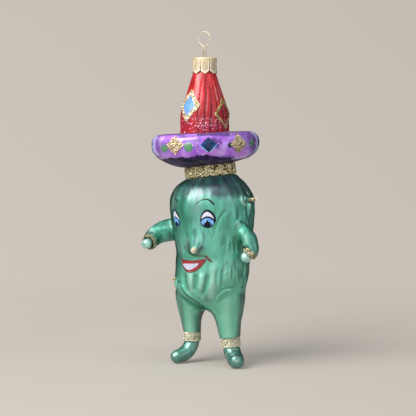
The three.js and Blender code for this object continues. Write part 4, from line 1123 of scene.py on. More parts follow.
def glitter_band(name, centre, axis, r_out, r_in, half, size, density, seed, base_look=None, flake_look=None):
    centre = np.array(centre, float)
    axis, u, v = band_axes(axis)
    n = int(r_out * 18)
    a = np.arange(n) / n * TAU
    r = np.random.default_rng(seed)
    edge = 0.12 * half
    base = r_out - size[1] * 0.38
    prof = [(-half, r_in), (-half, base - edge), (-half + edge * 0.6, base), (-half * 0.45, base + 0.06), (0, base + 0.08), (half * 0.45, base + 0.06), (half - edge * 0.6, base), (half, base - edge), (half, r_in)]
    rows = []
    for h, rr in prof:
        bumpy = 0.09 * wave_noise(np.stack([np.cos(a) * rr, np.sin(a) * rr, np.full(n, h)], -1), seed, 1.6) if rr > r_in + 0.1 else 0 * a
        rows.append(centre + axis * h + (u * np.cos(a)[:, None] + v * np.sin(a)[:, None]) * (rr + bumpy)[:, None])
    make(name, torus(np.stack(rows)), base_look or GOLD_BASE, nodes=[name])
    area = TAU * r_out * 2 * half
    m = int(area * density)
    at = r.uniform(0, TAU, m)
    h = r.uniform(-half * 0.98, half * 0.98, m)
    out = u * np.cos(at)[:, None] + v * np.sin(at)[:, None]
    p = centre + axis * h[:, None] + out * (base + 0.03)
    # granules also cover both edges of the band
    m2 = int(TAU * r_out * size[1] * 1.2 * density)
    at2 = r.uniform(0, TAU, m2)
    sign = np.where(r.random(m2) < 0.5, -1.0, 1.0)
    out2 = u * np.cos(at2)[:, None] + v * np.sin(at2)[:, None]
    depth = r.uniform(0.0, min(0.5, (base - r_in) * 0.8), m2)
    p2 = centre + axis * (sign * half)[:, None] + out2 * (base - depth)[:, None]
    flakes(name + "_flakes", np.concatenate([p, p2]), np.concatenate([out, unit(out2 * 0.7 + axis * sign[:, None])]), size, seed + 1, flake_look or GOLD)


band_t = math.radians(BAND["tilt"])
glitter_band("hat_band", (BAND["x"] + 0.15, 0, BAND["z"]), (-math.sin(band_t), 0, math.cos(band_t)), 12.45, 11.3, 2.3, (0.62, 1.1), 4.0, 101, GOLD_DIM)

GAP = 0.3
for side, half, out, ball, ball_at, spigot, depth in (("right", 0.45, 3.85, 2.5, 2.8, 2.1, 1.2), ("left", 1.2, 3.55, 2.65, 4.09, 1.8, 0.7)):
    end, direction, radius = limb_ends["arm_" + side]
    mid = end + direction * (GAP + half)
    glitter_band("wrist_band_" + side, mid, direction, out, spigot + GAP, half + (0.25 if side == "right" else 0.1), (0.32, 0.58), 14, 111 + len(side), OLIVE_BASE, OLIVE)
    # the bead of a hand, on its spigot
    axis, u, v = band_axes(direction)
    at = GAP + ball_at
    start = math.asin(spigot / ball)
    prof = [(-depth + 0.1, spigot * 0.85), (-depth + 0.25, spigot), (at - math.cos(start) * ball - 0.1, spigot)]
    prof += [(at - ball * math.cos(g), ball * math.sin(g)) for g in np.linspace(start + 0.05, math.pi - 0.02, 40)]
    n = 72
    a = np.arange(n) / n * TAU
    rows = np.stack([end + axis * h + (u * np.cos(a)[:, None] + v * np.sin(a)[:, None]) * r for h, r in prof])
    centre = end + axis * at
    away = rows - centre
    rows = rows + unit(away) * (0.05 * wave_noise(rows.reshape(-1, 3), 71, 4.0).reshape(rows.shape[:2]))[..., None] * (np.linalg.norm(away, axis=-1) < ball * 1.05)[..., None]
    make("hand_" + side, tube(rows), PEARL, nodes=["hand_" + side])

for side, out, spigot in (("right", 4.35, 2.9), ("left", 4.75, 3.2)):
    top = np.array(LIMBS["foot_" + side][0][:3])
    end = limb_ends["leg_" + side][0]
    axis = unit(end - top)
    clear = np.linalg.norm(end - top)
    glitter_band("ankle_band_" + side, (top + end) / 2, axis, out, spigot + 0.1, clear / 2 - 0.1, (0.3, 0.54), 17, 121 + len(side), STRAW_BASE, STRAW)


# -------------------------------------------------------------------- crown
def build_crown():
    n = 620
    a = np.arange(n) / n * TAU
    zs = np.concatenate([np.linspace(-12.75, -20, 14, endpoint=False), np.linspace(-20, -48.41, 130)])
    aa, zz = np.meshgrid(a, zs)
    relief = crown_relief(aa, zz)
    p = np.stack([np.sin(aa) * 10, np.cos(aa) * 10, zz], -1)
    wob = 0.06 * wave_noise(p.reshape(-1, 3), 91, 8.0).reshape(aa.shape) * ease(zz, -19, -24)
    x, tilt = crown_frame(zz)
    rows = ring_point(x, zz, tilt, smooth(CROWN, zz)[..., 0] + relief + wob, aa)
    inner = []
    for z, r in ((-48.3, 10.6), (-38, 10.1), (-27, 6.6), (-20.5, 4.05), (-13.1, 4.05), (-12.75, 4.4)):
        x, tilt = crown_frame(np.array(z))
        inner.append(ring_point(x, z, tilt, r, a))
    rows = np.concatenate([rows, np.stack(inner)])
    value = np.r_[relief.ravel(), np.zeros(len(inner) * n)]
    skin = rows[: len(zs)].reshape(-1, 3)
    front = np.cos(aa - VIEW_A).ravel() > 0.02
    # painted highlights and painted shade along image paths, and painted shade growing lower down towards the brim
    gleam, shade = (np.r_[px_paint(skin, front, marks["crown"]), np.zeros(len(inner) * n)] for marks in (GLEAM, SHADE))
    shade[: len(skin)] = np.maximum(shade[: len(skin)], 0.5 * ease(skin[:, 2], -27.0, -38.0))
    make("hat_crown", torus(rows), RED, nodes=["hat_crown"], attrs={"relief": value, "gleam": gleam, "shade": shade}, soft=50)


build_crown()


# --------------------------------------------------------------------- brim
def brim_guess(x):
    return VIEW_A + np.arcsin(np.clip((np.asarray(x, float) - 205.5) * 0.49 / 26, -0.98, 0.98))


UNDER_PX = np.array([(163.5, 158.6), (173.4, 157.3), (188.7, 157.3), (197.4, 155.1), (203.3, 154.4), (213.4, 155.8), (220.7, 157.3), (231.6, 156.9)])
_u = find(brim_point, UNDER_PX, brim_guess(UNDER_PX[:, 0]), -6.0)
UNDER = np.array(
    [(-math.pi, -8.0), (-1.9, -8.0)] + [(wrap(a - VIEW_A), s) for a, s in _u] + [(wrap(_u[-1, 0] - VIEW_A) + 0.12, -12.5), (1.4, -12.0), (2.2, -8.5), (math.pi, -8.0)]
)


def build_brim():
    n = 360
    a = np.arange(n) / n * TAU
    at = np.linspace(0, _len[-1], 150)
    aa, ss = np.meshgrid(a, BRIM_MID - at)
    rows = brim_point(aa, ss)
    # the inside of the ring, 1 mm within
    inner = []
    for h, r in ((-8.9, 11.0), (-7.4, 16.9), (-4.4, 22.8), (-0.6, 24.9), (3.2, 24.4), (4.9, 21.9), (4.85, 9.4)):
        at_frame = BAND if r < 12 else BRIM
        h2 = 2.6 if r < 12 else h
        inner.append(frame_point(at_frame, h2, r, a))
    rows = np.concatenate([rows, np.stack(inner)])
    rel = wrap(aa - VIEW_A)
    # painted shade on the underside of the brim, with a ragged upper edge
    edge = np.interp(rel, UNDER[:, 0], UNDER[:, 1]) + 0.25 * wave_noise(np.stack([np.sin(aa) * 26, np.cos(aa) * 26, 0 * aa], -1).reshape(-1, 3), 97, 5.0).reshape(aa.shape) + 0.22 * wave_noise(np.stack([np.sin(aa) * 26, np.cos(aa) * 26, ss], -1).reshape(-1, 3), 98, 1.9).reshape(aa.shape)
    dark = 1 - ease(ss, edge - 0.55, edge + 0.35)
    under = np.r_[dark.ravel(), np.zeros(len(inner) * n)]
    outer = brim_point(aa, ss).reshape(-1, 3)
    front = (np.abs(rel) < math.radians(112)).ravel()
    rest = np.zeros(len(inner) * n)
    # the painted highlights, reflections and shade, and the matte patches, fade over the top and round the sides
    near = ((1 - ease(ss, 7.0, 11.0)) * (1 - ease(np.abs(rel), math.radians(88), math.radians(110)))).ravel()
    # painted pale rim highlights round both ends of the brim
    rim_highlight = near * px_paint(outer, front, [([(156.0, 136.6), (154.0, 139.4), (153.2, 144.4), (154.0, 149.6), (156.8, 154.6)], 1.5, 0.8), ([(160, 158.4), (167, 161.8), (174.4, 164)], 0.9, 0.4), ([(251.4, 131.9), (255.2, 134.8), (257.2, 139.4), (257.2, 147), (254.4, 152.8), (250.4, 156.2)], 1.2, 0.75), ([(244.6, 137), (247.0, 150)], 3.2, 0.26)])
    matte = near * px_paint(outer, front, [([(200, 138), (212, 137), (222, 137.4)], 4.4, 1.0), ([(162, 138.5), (174.5, 137.5)], 4.2, 0.95), ([(186, 134.8), (198, 134.4)], 1.3, 0.7), ([(180, 142.4), (197, 142.0)], 2.2, 0.9), ([(222, 138.6), (234, 139.6)], 3.2, 0.85)])
    # painted dark reflection lines round the ends, and painted shade over the top front, in navy
    navy_shade = near * px_paint(outer, front, [([(248.6, 131.9), (252.6, 135.0), (254.4, 139.0), (254.9, 144.0), (254.3, 149.0), (252.2, 153.2), (247.3, 156.8)], 0.62, 0.75), ([(158.4, 157.4), (163.6, 160.4)], 0.6, 0.4), ([(160.0, 136.2), (157.6, 140.0), (157.1, 146.0), (158.4, 151.6), (161.2, 155.8)], 0.6, 0.42), ([(184, 140.2), (199, 139.8)], 3.0, 0.82), ([(198, 134.6), (206, 134.6), (216, 134.8), (228, 135)], 2.0, 0.85), ([(213.5, 139), (217.5, 147)], 3.2, 0.72), ([(194, 141), (197, 147)], 2.4, 0.4)])
    # a painted reflection of the red crown along the brim's top edge
    crown_reflection = near * px_paint(outer, front, [([(159.6, 134.7), (181.4, 133.7)], 0.8, 0.7)])
    # painted shade and dark reflections in dark magenta over the top and front
    magenta_shade = near * px_paint(outer, front, [([(219.4, 139.6), (220.6, 142.6)], 2.4, 0.75), ([(198.5, 136.6), (203, 135.6)], 1.6, 0.35), ([(184, 142.6), (196, 142.2)], 2.2, 0.3), ([(204, 139.4), (216, 139.0), (232, 140.4)], 2.6, 0.42), ([(168, 140.6), (180, 140.2)], 2.0, 0.25), ([(242.6, 135.2), (248.6, 136.4)], 1.4, 0.4)])
    make("hat_brim", torus(rows), PURPLE, nodes=["hat_brim"], soft=60, attrs={"under": under, "rim_highlight": np.r_[rim_highlight, rest], "navy_shade": np.r_[navy_shade, rest], "crown_reflection": np.r_[crown_reflection, rest], "magenta_shade": np.r_[magenta_shade, rest], "matte": np.r_[matte, rest]})


build_brim()


# ------------------------------------------------------------ painted parts
def lay(surface, uv, h):
    """Points on a surface, raised by h along its normal."""
    return surface(uv[:, 0], uv[:, 1]) + normals(surface, uv[:, 0], uv[:, 1]) * np.reshape(h, (-1, 1))


def patch(name, surface, outline, h, material, dome=0.03, sink=0.12, rings=7, body="glass"):
    """A thin closed enamel patch over a star-shaped outline in surface coordinates."""
    uv = np.asarray(outline, float)
    c = uv.mean(0)
    m = len(uv)
    rows = [lay(surface, c + (uv - c) * f, h + dome * (1 - f**2)) for f in np.linspace(1 / rings, 1, rings)]
    rows.append(lay(surface, c + (uv - c) * 1.006, np.full(m, h * 0.45)))
    rows += [lay(surface, c + (uv - c) * f, np.full(m, -sink)) for f in (1.004, 0.5)]
    return make(name, tube(np.stack(rows)), material, body, soft=60)


def ribbon(name, surface, left, right, h, material, sink=0.1, body="glass"):
    """A thin closed stroke between two edges given in surface coordinates."""
    across = ((0.0, 0.25), (0.16, 0.8), (0.5, 1.0), (0.84, 0.8), (1.0, 0.25))
    top = [lay(surface, left + (right - left) * f, np.full(len(left), h * k)) for f, k in across]
    low = [lay(surface, left + (right - left) * f, np.full(len(left), -sink)) for f in (1.0, 0.5, 0.0)]
    rows = np.stack(top + low, 1)
    return make(name, tube(rows), material, body, soft=60)


def px_ribbon(name, points, widths, h, material, n=40, coords=face_uv, surface=body_point):
    """A stroke drawn through image points, laid on the surface behind them."""
    c = resample(points, n)
    d = np.gradient(c, axis=0)
    d /= np.linalg.norm(d, axis=1)[:, None]
    side = np.stack([-d[:, 1], d[:, 0]], -1)
    f = np.linspace(0, 1, n)
    w = np.interp(f, np.linspace(0, 1, len(widths)), widths)
    w = w * np.sqrt(np.clip(1 - (2 * f - 1) ** 16, 0.02, 1)) / 2
    return ribbon(name, surface, coords(c - side * w[:, None]), coords(c + side * w[:, None]), h, material)


def px_patch(name, points, h, material, n=56, corners=False, dome=0.03, coords=face_uv, surface=body_point):
    outline = straight(points, n) if corners else resample(points, n, closed=True)
    return patch(name, surface, coords(outline), h, material, dome=dome)


# right eye of the face in the view (its own left)
EYE_L = [(200.4, 221.8), (201.1, 217.2), (203.4, 212.9), (206.4, 211.0), (209.6, 211.8), (212.4, 214.4), (214.5, 218.0), (214.9, 221.0), (213.4, 224.0), (211, 226.2), (207.8, 227.1), (204.6, 226.4), (202.1, 224.5)]
px_patch("eye_left_white", EYE_L, 0.05, EYE_WHITE)
px_patch("eye_left_iris", [(200.9, 222), (202.2, 219.8), (204.6, 218.2), (207.4, 217.6), (210.6, 218.3), (213.2, 220.2), (214.0, 222), (213, 224), (210.8, 226), (207.8, 226.7), (204.8, 226), (202.4, 224.3)], 0.09, IRIS)
px_patch("eye_left_pupil", [(207.3, 220.0), (208.8, 221.9), (210.9, 223.2), (210.9, 225.4), (208, 226.8), (205.0, 226.2), (203.7, 224.2), (205.4, 222.6)], 0.13, BLACK, n=32)
px_patch("eye_left_glint", [(205.0, 221.3), (205.7, 220.8), (206.2, 221.3), (205.9, 222.3), (205.2, 222.5)], 0.17, WHITE, n=20, dome=0.01)
px_ribbon("eye_left_lid", [(200.3, 222.4), (200.9, 218.0), (203.0, 213.2), (206.3, 210.8), (209.7, 211.5), (212.6, 214.1), (214.7, 217.8), (215.0, 221.2), (213.5, 224.1)], (0.7, 1.0, 1.4, 2.1, 2.5, 2.5, 2.4, 1.9, 1.1), 0.16, BLACK)
px_ribbon("eye_left_iris_line", [(200.5, 221.9), (202.1, 219.4), (204.6, 217.7), (207.4, 217.1), (210.7, 217.9), (213.5, 220.1), (214.4, 222)], (1.3, 1.6, 1.8, 1.9, 1.9, 1.9, 1.5), 0.18, BLACK)
px_ribbon("eye_left_under", [(200.6, 222.3), (202.1, 224.7), (204.6, 226.6), (207.8, 227.3), (211, 226.5), (213.5, 224.0)], (1.0, 1.3, 1.5, 1.7, 1.5, 1.1), 0.14, BLACK)

# left eye in the view, near the edge of the head
px_patch("eye_right_white", [(174.6, 210.9), (175.9, 212.2), (177.4, 214.6), (178.7, 217.4), (179.3, 220.2), (179.2, 223.4), (177.6, 225.2), (175.9, 223.6), (174.6, 220.6), (173.9, 217.2), (173.6, 214)], 0.05, EYE_WHITE, n=44)
px_patch("eye_right_iris", [(174.1, 217.0), (175.3, 216.8), (177.0, 218.3), (178.6, 220.5), (179.2, 222.6), (178.6, 224.5), (177.3, 225), (175.8, 223.4), (174.6, 220.6)], 0.09, IRIS, n=40)
px_patch("eye_right_pupil", [(176.2, 221.8), (177.6, 222.0), (178.5, 223.4), (178.0, 225.0), (176.9, 225.0), (175.9, 223.6)], 0.13, BLACK, n=24)
px_ribbon("eye_right_lid", [(174.1, 209.7), (175.6, 210.8), (177.2, 212.9), (178.6, 215.6), (179.4, 218.4)], (0.7, 1.4, 1.7, 1.3, 0.6), 0.16, BLACK, n=28)
px_ribbon("eye_right_iris_line", [(174.3, 216.3), (175.8, 216.9), (177.4, 218.4), (179.0, 220.6), (179.7, 222.6), (179.2, 224.7), (177.4, 225.8), (176.2, 224.9)], (0.8, 1.2, 1.2, 1.1, 1.2, 1.4, 1.3, 0.7), 0.15, NAVY, n=36)

px_ribbon("brow_left", [(194.8, 204.7), (198.1, 202.2), (201.0, 200.3), (203.9, 199.3), (207.1, 199.2), (209.9, 200.6), (212.1, 202.5), (214.5, 205.1)], (0.4, 0.8, 1.1, 1.4, 1.7, 2.1, 2.5, 2.0), 0.1, BROW)
px_ribbon("brow_right", [(175.0, 198.8), (176.4, 199.9), (177.7, 201.4), (178.2, 202.6)], (1.0, 1.6, 1.4, 0.7), 0.1, BROW, n=20)
px_ribbon("cheek_line", [(226.8, 209.6), (223.0, 212.6), (220.0, 216.4), (217.4, 221.4), (215.6, 226.6)], (0.4, 1.1, 1.5, 1.2, 0.5), 0.03, LINE, n=36)
px_ribbon("nose_line_a", [(207.9, 228.4), (209.4, 232.4), (211.5, 237.2)], (0.4, 0.7, 0.4), 0.03, FAINT, n=24)
px_ribbon("nose_line_b", [(214.3, 229.6), (213.4, 233.0), (211.7, 237.0)], (0.4, 0.7, 0.4), 0.03, FAINT, n=24)

# mouth: red lips, teeth, dark outline, and the stroke at its corner
px_patch("lips", [(181.9, 259.0), (184.5, 260.1), (188, 260.8), (192, 261.1), (197, 260.5), (202.7, 259.9), (206.4, 259.9), (203.1, 264.2), (199.2, 267.8), (195.7, 270.3), (192, 271.7), (188.8, 271.5), (185.9, 270.0), (183.8, 267.1), (182.6, 263.8)], 0.06, LIP, n=80)
px_patch("teeth", [(182.9, 263.7), (186.3, 263.6), (190.5, 263.7), (194.9, 263.6), (198.7, 263.4), (197.6, 265.3), (194.9, 267.4), (192, 269.2), (189.1, 269.8), (186.3, 268.9), (184.3, 266.7)], 0.1, WHITE, n=60)
px_ribbon("lip_line_top", [(180.9, 257.6), (182.2, 259.3), (187, 260.5), (192, 260.8), (197, 260.2), (202.7, 259.6), (206.8, 259.5)], (0.7, 1.0, 0.9, 0.8, 0.8, 0.9, 1.1), 0.12, LIP_DARK)
px_ribbon("lip_line_low", [(182.3, 261.6), (182.9, 264.9), (184.0, 267.6), (186.1, 270.4), (188.9, 271.8), (192, 272.0), (195.8, 270.5), (199.4, 267.9), (202.9, 264.4), (206.6, 259.9)], (0.8, 1.1, 1.2, 1.4, 1.5, 1.5, 1.2, 1.1, 1.1, 1.0), 0.12, LIP_DARK)
px_ribbon("mouth_corner", [(204.0, 255.3), (206.6, 257.3), (209.4, 260.0), (212.6, 262.5)], (1.0, 2.3, 2.4, 0.9), 0.1, LIP_DARK, n=28)
px_ribbon("mouth_corner_red", [(205.8, 256.9), (207.9, 258.5), (210.0, 260.5)], (0.5, 1.2, 0.5), 0.14, enamel("enamel_brick", lin(140, 72, 60), lin(118, 56, 48), 0.35), n=20)

# ----------------------------------------------------- lozenges on the crown
def uv_diamond(cu, cv, half_w, half_h, radius, n=64):
    k = half_w / radius
    return straight([(cu, cv + half_h), (cu + k, cv), (cu, cv - half_h), (cu - k, cv)], n)


def crown_lozenge(name, pixel, guess, w_out, h_out, w_in, h_in, fill, gold, seed, uv=None):
    c = find(crown_point_plain, pixel, *guess)[0] if uv is None else np.array(uv)
    r = float(smooth(CROWN, np.array(c[1]))[..., 0])
    outer, inner = uv_diamond(c[0], c[1], w_out, h_out, r), uv_diamond(c[0], c[1], w_in, h_in, r)
    if fill is not None:
        patch(name, crown_point_soft, uv_diamond(c[0], c[1], w_in + 0.4, h_in + 0.45, r), 0.1, fill, dome=0.02, sink=0.6, rings=12)
    top = [lay(crown_point_soft, inner + (outer - inner) * f, np.full(len(inner), h)) for f, h in ((0, 0.05), (0.08, 0.2), (0.5, 0.26), (0.92, 0.2), (1, 0.05))]
    low = [lay(crown_point_soft, inner + (outer - inner) * f, np.full(len(inner), -0.6)) for f in (1, 0)]
    make(name + "_border", torus(np.stack(top + low)), GOLD_BASE, soft=60)
    rnd = np.random.default_rng(seed)
    q = np.stack([rnd.uniform(-1, 1, 4000) * w_out / r + c[0], rnd.uniform(-1, 1, 4000) * h_out + c[1]], -1)
    q = q[inside(outer, q) & ~inside(inner, q)]
    area = 2 * (w_out * h_out - w_in * h_in)
    q = q[: int(area * 11)]
    p, nn = lay(crown_point_soft, q, 0.24), normals(crown_point_soft, q[:, 0], q[:, 1])
    flakes(name + "_flakes", p, nn, (0.35, 0.7), seed + 1, gold)


def crown_point_plain(a, z):
    x, tilt = crown_frame(z)
    return ring_point(x, z, tilt, smooth(CROWN, z)[..., 0], a)


def crown_point_soft(a, z):
    x, tilt = crown_frame(z)
    return ring_point(x, z, tilt, smooth(CROWN, z)[..., 0] + 0.55 * crown_relief(a, z), a)


crown_lozenge("lozenge_blue", (188.6, 105.6), (VIEW_A - 0.9, -36.0), 6.6, 8.1, 4.2, 4.9, SKY, PALE_GOLD, 201)
crown_lozenge("lozenge_red", (224.6, 113.6), (VIEW_A + 1.1, -40.0), 7.0, 7.6, 5.2, 5.7, None, BRONZE, 211)
crown_lozenge("lozenge_green", None, None, 6.8, 7.8, 4.4, 4.9, DOT, GOLD, 221, uv=(math.radians(218), -38.6))

# small pink and silver specks low on the crown
_r = np.random.default_rng(231)
m = 310
ang = np.concatenate([VIEW_A + _r.normal(-0.03, 0.3, 110), _r.uniform(0, TAU, m - 110)])
hz = -_r.triangular(38.5, 45.0, 48.0, m)
uv = np.stack([ang, hz], -1)
flakes("crown_specks", lay(crown_point, uv, 0.03), normals(crown_point, uv[:, 0], uv[:, 1]), (0.22, 0.48), 232, PINK, lean=0.3)


# ------------------------------------------------------- pattern of the brim
def brim_uv(pixel, guess_a):
    return find(brim_point, pixel, guess_a, 0.0)[0]


def gold_diamond(name, c, w, h, seed):
    rnd = np.random.default_rng(seed)
    outline = uv_diamond(c[0], c[1], w, h, 26.0, 96)
    jag = 1 + 0.05 * rnd.normal(size=len(outline))
    outline = c + (outline - c) * (jag * 0.98)[:, None]
    patch(name, brim_point, outline, 0.12, SAND_BASE, dome=0.12, sink=0.4, rings=8)
    q = np.stack([rnd.uniform(-1.1, 1.1, 6000) * w / 26 + c[0], rnd.uniform(-1.1, 1.1, 6000) * h + c[1]], -1)
    q = q[inside(c + (outline - c) * 1.06, q)]
    q = q[: int(2 * w * h * 12)]
    flakes(name + "_flakes", lay(brim_point, q, 0.2), normals(brim_point, q[:, 0], q[:, 1]), (0.35, 0.72), seed + 1, SAND)


def navy_diamond(name, c, w, h, seed):
    rnd = np.random.default_rng(seed)
    patch(name, brim_point, uv_diamond(c[0], c[1], w, h, 26.0), 0.09, NAVY, dome=0.08, sink=0.4, rings=8)
    k = w / 26.0
    for tag, a, b in (("_edge_a", (-k, 0.0), (0.0, -h)), ("_edge_b", (0.0, -h), (k, 0.0))):
        f = np.linspace(0, 1, 24)[:, None]
        line = np.array(c) + np.array(a) + (np.array(b) - np.array(a)) * f
        push = np.array([(a[0] + b[0]) * 26 / 2, (a[1] + b[1]) / 2])
        push = push / np.linalg.norm(push) * 0.42
        shift = np.array([push[0] / 26, push[1]])
        wide = np.sqrt(np.clip(1 - (2 * f - 1) ** 8, 0.05, 1))
        ribbon(name + tag, brim_point, line - shift * 0.15 * wide, line + shift * wide, 0.13, EDGE)
    q = np.stack([rnd.uniform(-1, 1, 300) * w / 26 + c[0], rnd.uniform(-1, 1, 300) * h + c[1]], -1)
    q = q[inside(uv_diamond(c[0], c[1], w * 0.9, h * 0.9, 26.0), q)][:70]
    flakes(name + "_flakes", lay(brim_point, q, 0.12), normals(brim_point, q[:, 0], q[:, 1]), (0.2, 0.42), seed + 1, NAVY)


def dot(name, c, r, material, wide=1.0):
    t = np.arange(40) / 40 * TAU
    patch(name, brim_point, np.stack([c[0] + np.cos(t) * r * wide / 26, c[1] + np.sin(t) * r * 1.05], -1), 0.08, material, dome=0.14, sink=0.4, rings=6)


gold_a = brim_uv((174.6, 145.4), brim_guess(174.6))
gold_b = brim_uv((239.0, 143.8), brim_guess(239.0))
navy_a = brim_uv((208.6, 144.6), brim_guess(208.6))
gold_diamond("brim_gold_1", gold_a, 5.0, 4.3, 301)
gold_diamond("brim_gold_2", gold_b, 4.6, 4.6, 311)
navy_diamond("brim_navy_1", navy_a, 3.9, 3.8, 321)
dot("brim_dot_1", brim_uv((164.2, 148.6), brim_guess(164.2)), 1.65, DOT, 1.55)
dot("brim_dot_2", brim_uv((188.4, 147.2), brim_guess(188.4)), 2.15, DOT)
dot("brim_dot_3", brim_uv((230.0, 144.9), brim_guess(230.0)), 1.25, DOT_DARK)
dot("brim_dot_4", brim_uv((251.7, 142.7), brim_guess(251.7)), 1.7, DOT)
dot("brim_dot_low", brim_uv((201.8, 161.4), brim_guess(201.8)), 1.4, DOT_DARK)
# the same pattern goes on round the back
for k, at in enumerate((84, 147, 215, 271)):
    navy_diamond("brim_navy_%d" % (k + 2), np.array([VIEW_A + math.radians(at), (0.1, -0.15, 0.2, 0.0)[k]]), 3.8, 3.7, 341 + 3 * k)
for k, at in enumerate((115, 181, 243)):
    gold_diamond("brim_gold_%d" % (k + 3), np.array([VIEW_A + math.radians(at), (0.2, -0.1, 0.1)[k]]), 4.8, 4.5, 371 + 3 * k)
    dot("brim_dot_%d" % (5 + 2 * k), np.array([VIEW_A + math.radians(at - 15.8), (-0.4, -0.8, -0.5)[k]]), 1.8, DOT)
    dot("brim_dot_%d" % (6 + 2 * k), np.array([VIEW_A + math.radians(at + (16.0, 16.5, 14.5)[k]), (-0.6, -0.3, -0.7)[k]]), 1.8, DOT)
rnd = np.random.default_rng(351)
ang = np.concatenate([c + rnd.normal(0, 0.06, 26) for c in (navy_a[0] - 0.24, navy_a[0] + 0.3, *(VIEW_A + math.radians(k) for k in (68, 132, 199, 228)))])
uv = np.stack([ang, rnd.normal(0.2, 1.8, len(ang))], -1)
flakes("brim_specks", lay(brim_point, uv, 0.03), normals(brim_point, uv[:, 0], uv[:, 1]), (0.2, 0.42), 352, PINK, lean=0.3)


# ------------------------------------------------------------------- spines
for key, (name, s) in enumerate(SPINES.items()):
    x = float(smooth(BODY, np.array(s["z"]))[..., 0])
    a = math.radians(s["a"])
    axis = unit(np.array([math.sin(a), -math.cos(a), 0.12]))
    start = np.array([x, 0, s["z"]]) + axis * s["r0"]
    length = s["r1"] - s["r0"]
    axis_, u, v = band_axes(axis)
    f = np.linspace(0, 1, 40)
    prof = np.interp(f, [0, s["gold"], 0.62, 0.86, 0.97, 1.0], [s["base"] * 0.5, s["base"] * 0.5, s["base"] * 0.4, s["base"] * 0.2, 0.14, 0.03])
    if name == "spine_nose":
        axis = unit(np.array([math.sin(a), -math.cos(a), -0.32]))
        start = start + np.array([0, 0, -2.0])
        axis_, u, v = band_axes(axis)
        prof = np.interp(f, [0, 0.45, 0.7, 0.92, 1.0], [1.3, 1.3, 1.1, 0.5, 0.05])
    n = 36
    t = np.arange(n) / n * TAU
    rows = start + axis * (f * length)[:, None, None] + (u * np.cos(t)[:, None] + v * np.sin(t)[:, None])[None] * prof[:, None, None]
    flat = rows.reshape(-1, 3)
    rows = (flat + unit(flat - start) * (0.05 * wave_noise(flat, 81 + key, 1.1))[:, None]).reshape(rows.shape)
    make(name, tube(rows), SAND_BASE, nodes=[name])
    rnd = np.random.default_rng(401 + 10 * key)
    m = 150
    ff = rnd.uniform(0.25, 1.0, m)
    tt = rnd.uniform(0, TAU, m)
    rr = np.interp(ff, f, prof)
    out = u * np.cos(tt)[:, None] + v * np.sin(tt)[:, None]
    p = start + axis * (ff * length)[:, None] + out * rr[:, None]
    flakes(name + "_flakes", p, unit(out + axis * 0.4), (0.45, 0.95) if name == "spine_nose" else (0.25, 0.55), 402 + 10 * key, CREAM if name == "spine_nose" else PALE_GOLD, lean=0.8)


# ------------------------------------------------------------- cap and wire
def build_cap():
    n, tabs = 480, 8
    a = np.arange(n) / n * TAU
    turn = math.radians(34.0)
    phase = ((a - turn) / TAU * tabs + 0.5) % 1.0
    peak = 1 - np.abs(phase - 0.5) * 2
    edge = -18.45 - 1.65 * peak
    m = 74
    rows, inner, tone = [], [], []
    top_z, rad = -12.1, 6.0
    for r in (1.7, 2.0, 2.6, 3.4, 4.2, 4.8):
        dish = -0.12 * ease(r, 4.8, 3.0)
        rows.append(np.stack([r * np.sin(a), -r * np.cos(a), np.full(n, top_z + dish)], -1))
    for g in np.linspace(0.15, 1.0, 7):
        ang = g * math.pi / 2
        rows.append(np.stack([(5.2 + 0.8 * math.sin(ang)) * np.sin(a), -(5.2 + 0.8 * math.sin(ang)) * np.cos(a), np.full(n, top_z - 0.8 * (1 - math.cos(ang)))], -1))
    r_noise = np.random.default_rng(501)
    for k in range(1, m + 1):
        f = k / m
        z = (top_z - 0.8) + (edge - (top_z - 0.8)) * f
        down = (top_z - 0.8) - z
        to_edge = (z - edge) * 0.72
        arc = (phase - 0.5) * TAU * rad / tabs
        # grooves between the panels, deepest at the notches
        side = TAU * rad / tabs / 2 - np.abs(arc)
        groove = -0.34 * np.exp(-((side / 0.26) ** 2)) * ease(down, 0.3, 1.4)
        rim_ = np.minimum(to_edge, side)
        # a painted highlight along each panel's rim
        light = np.exp(-(((rim_ - 0.5) / 0.24) ** 2)) * ease(down, 0.4, 1.2)
        inside_ = ease(rim_, 0.75, 0.95) * ease(down, 0.6, 1.2)
        px, pz = (phase - 0.5) * TAU * rad / tabs / 0.92, (z + 14) / 0.92
        spots = np.exp(-(((px - np.round(px)) ** 2 + (pz - np.round(pz)) ** 2) / 0.09))
        # tone: that highlight, the dotted pattern, and darker lines in the grooves that deepen towards the notches
        tone.append(light * 0.9 + inside_ * (0.7 * spots - 0.42 * (1 - spots)) - (0.5 + 1.2 * ease(down, 2.6, 4.6)) * np.exp(-((side / 0.24) ** 2)) * ease(down, 0.2, 1.0))
        rim = np.minimum(to_edge, side)
        smooth_rim = 0.11 * np.exp(-(((rim - 0.34) / 0.2) ** 2))
        field = ease(rim, 0.6, 0.85)
        px, pz = arc / 0.92, (z + 14) / 0.92
        dots = np.exp(-(((px - np.round(px)) ** 2 + (pz - np.round(pz)) ** 2) / 0.075))
        flare = 0.16 * ease(down, 4.2, 6.6) + 0.05 * np.sin(a * 3 + 1)
        r = rad - 0.1 + flare * 0.7 + groove + smooth_rim * ease(down, 0.2, 1.0) + 0.1 * dots * field * ease(down, 0.4, 1.0)
        rows.append(np.stack([r * np.sin(a), -r * np.cos(a), z], -1))
        inner.append(np.stack([(rad - 0.42 + flare * 0.7 + groove * 0.6) * np.sin(a), -(rad - 0.42 + flare * 0.7 + groove * 0.6) * np.cos(a), z], -1))
    back = inner[::-1][::3]
    back += [np.stack([r * np.sin(a), -r * np.cos(a), np.full(n, z)], -1) for r, z in ((5.5, top_z - 0.85), (5.1, top_z - 0.4), (3.0, top_z - 0.45), (1.7, top_z - 0.42))]
    first = len(rows) - len(tone)
    rows = np.stack(rows + back)
    value = np.zeros(rows.shape[:2])
    value[first : first + len(tone)] = np.array(tone)
    # the inside of the cap is darker: painted shade
    value[first + len(tone) :] = -0.6
    make("cap", torus(rows), CAP, "cap", nodes=["cap"], soft=65, attrs={"tone": value.ravel()})


build_cap()


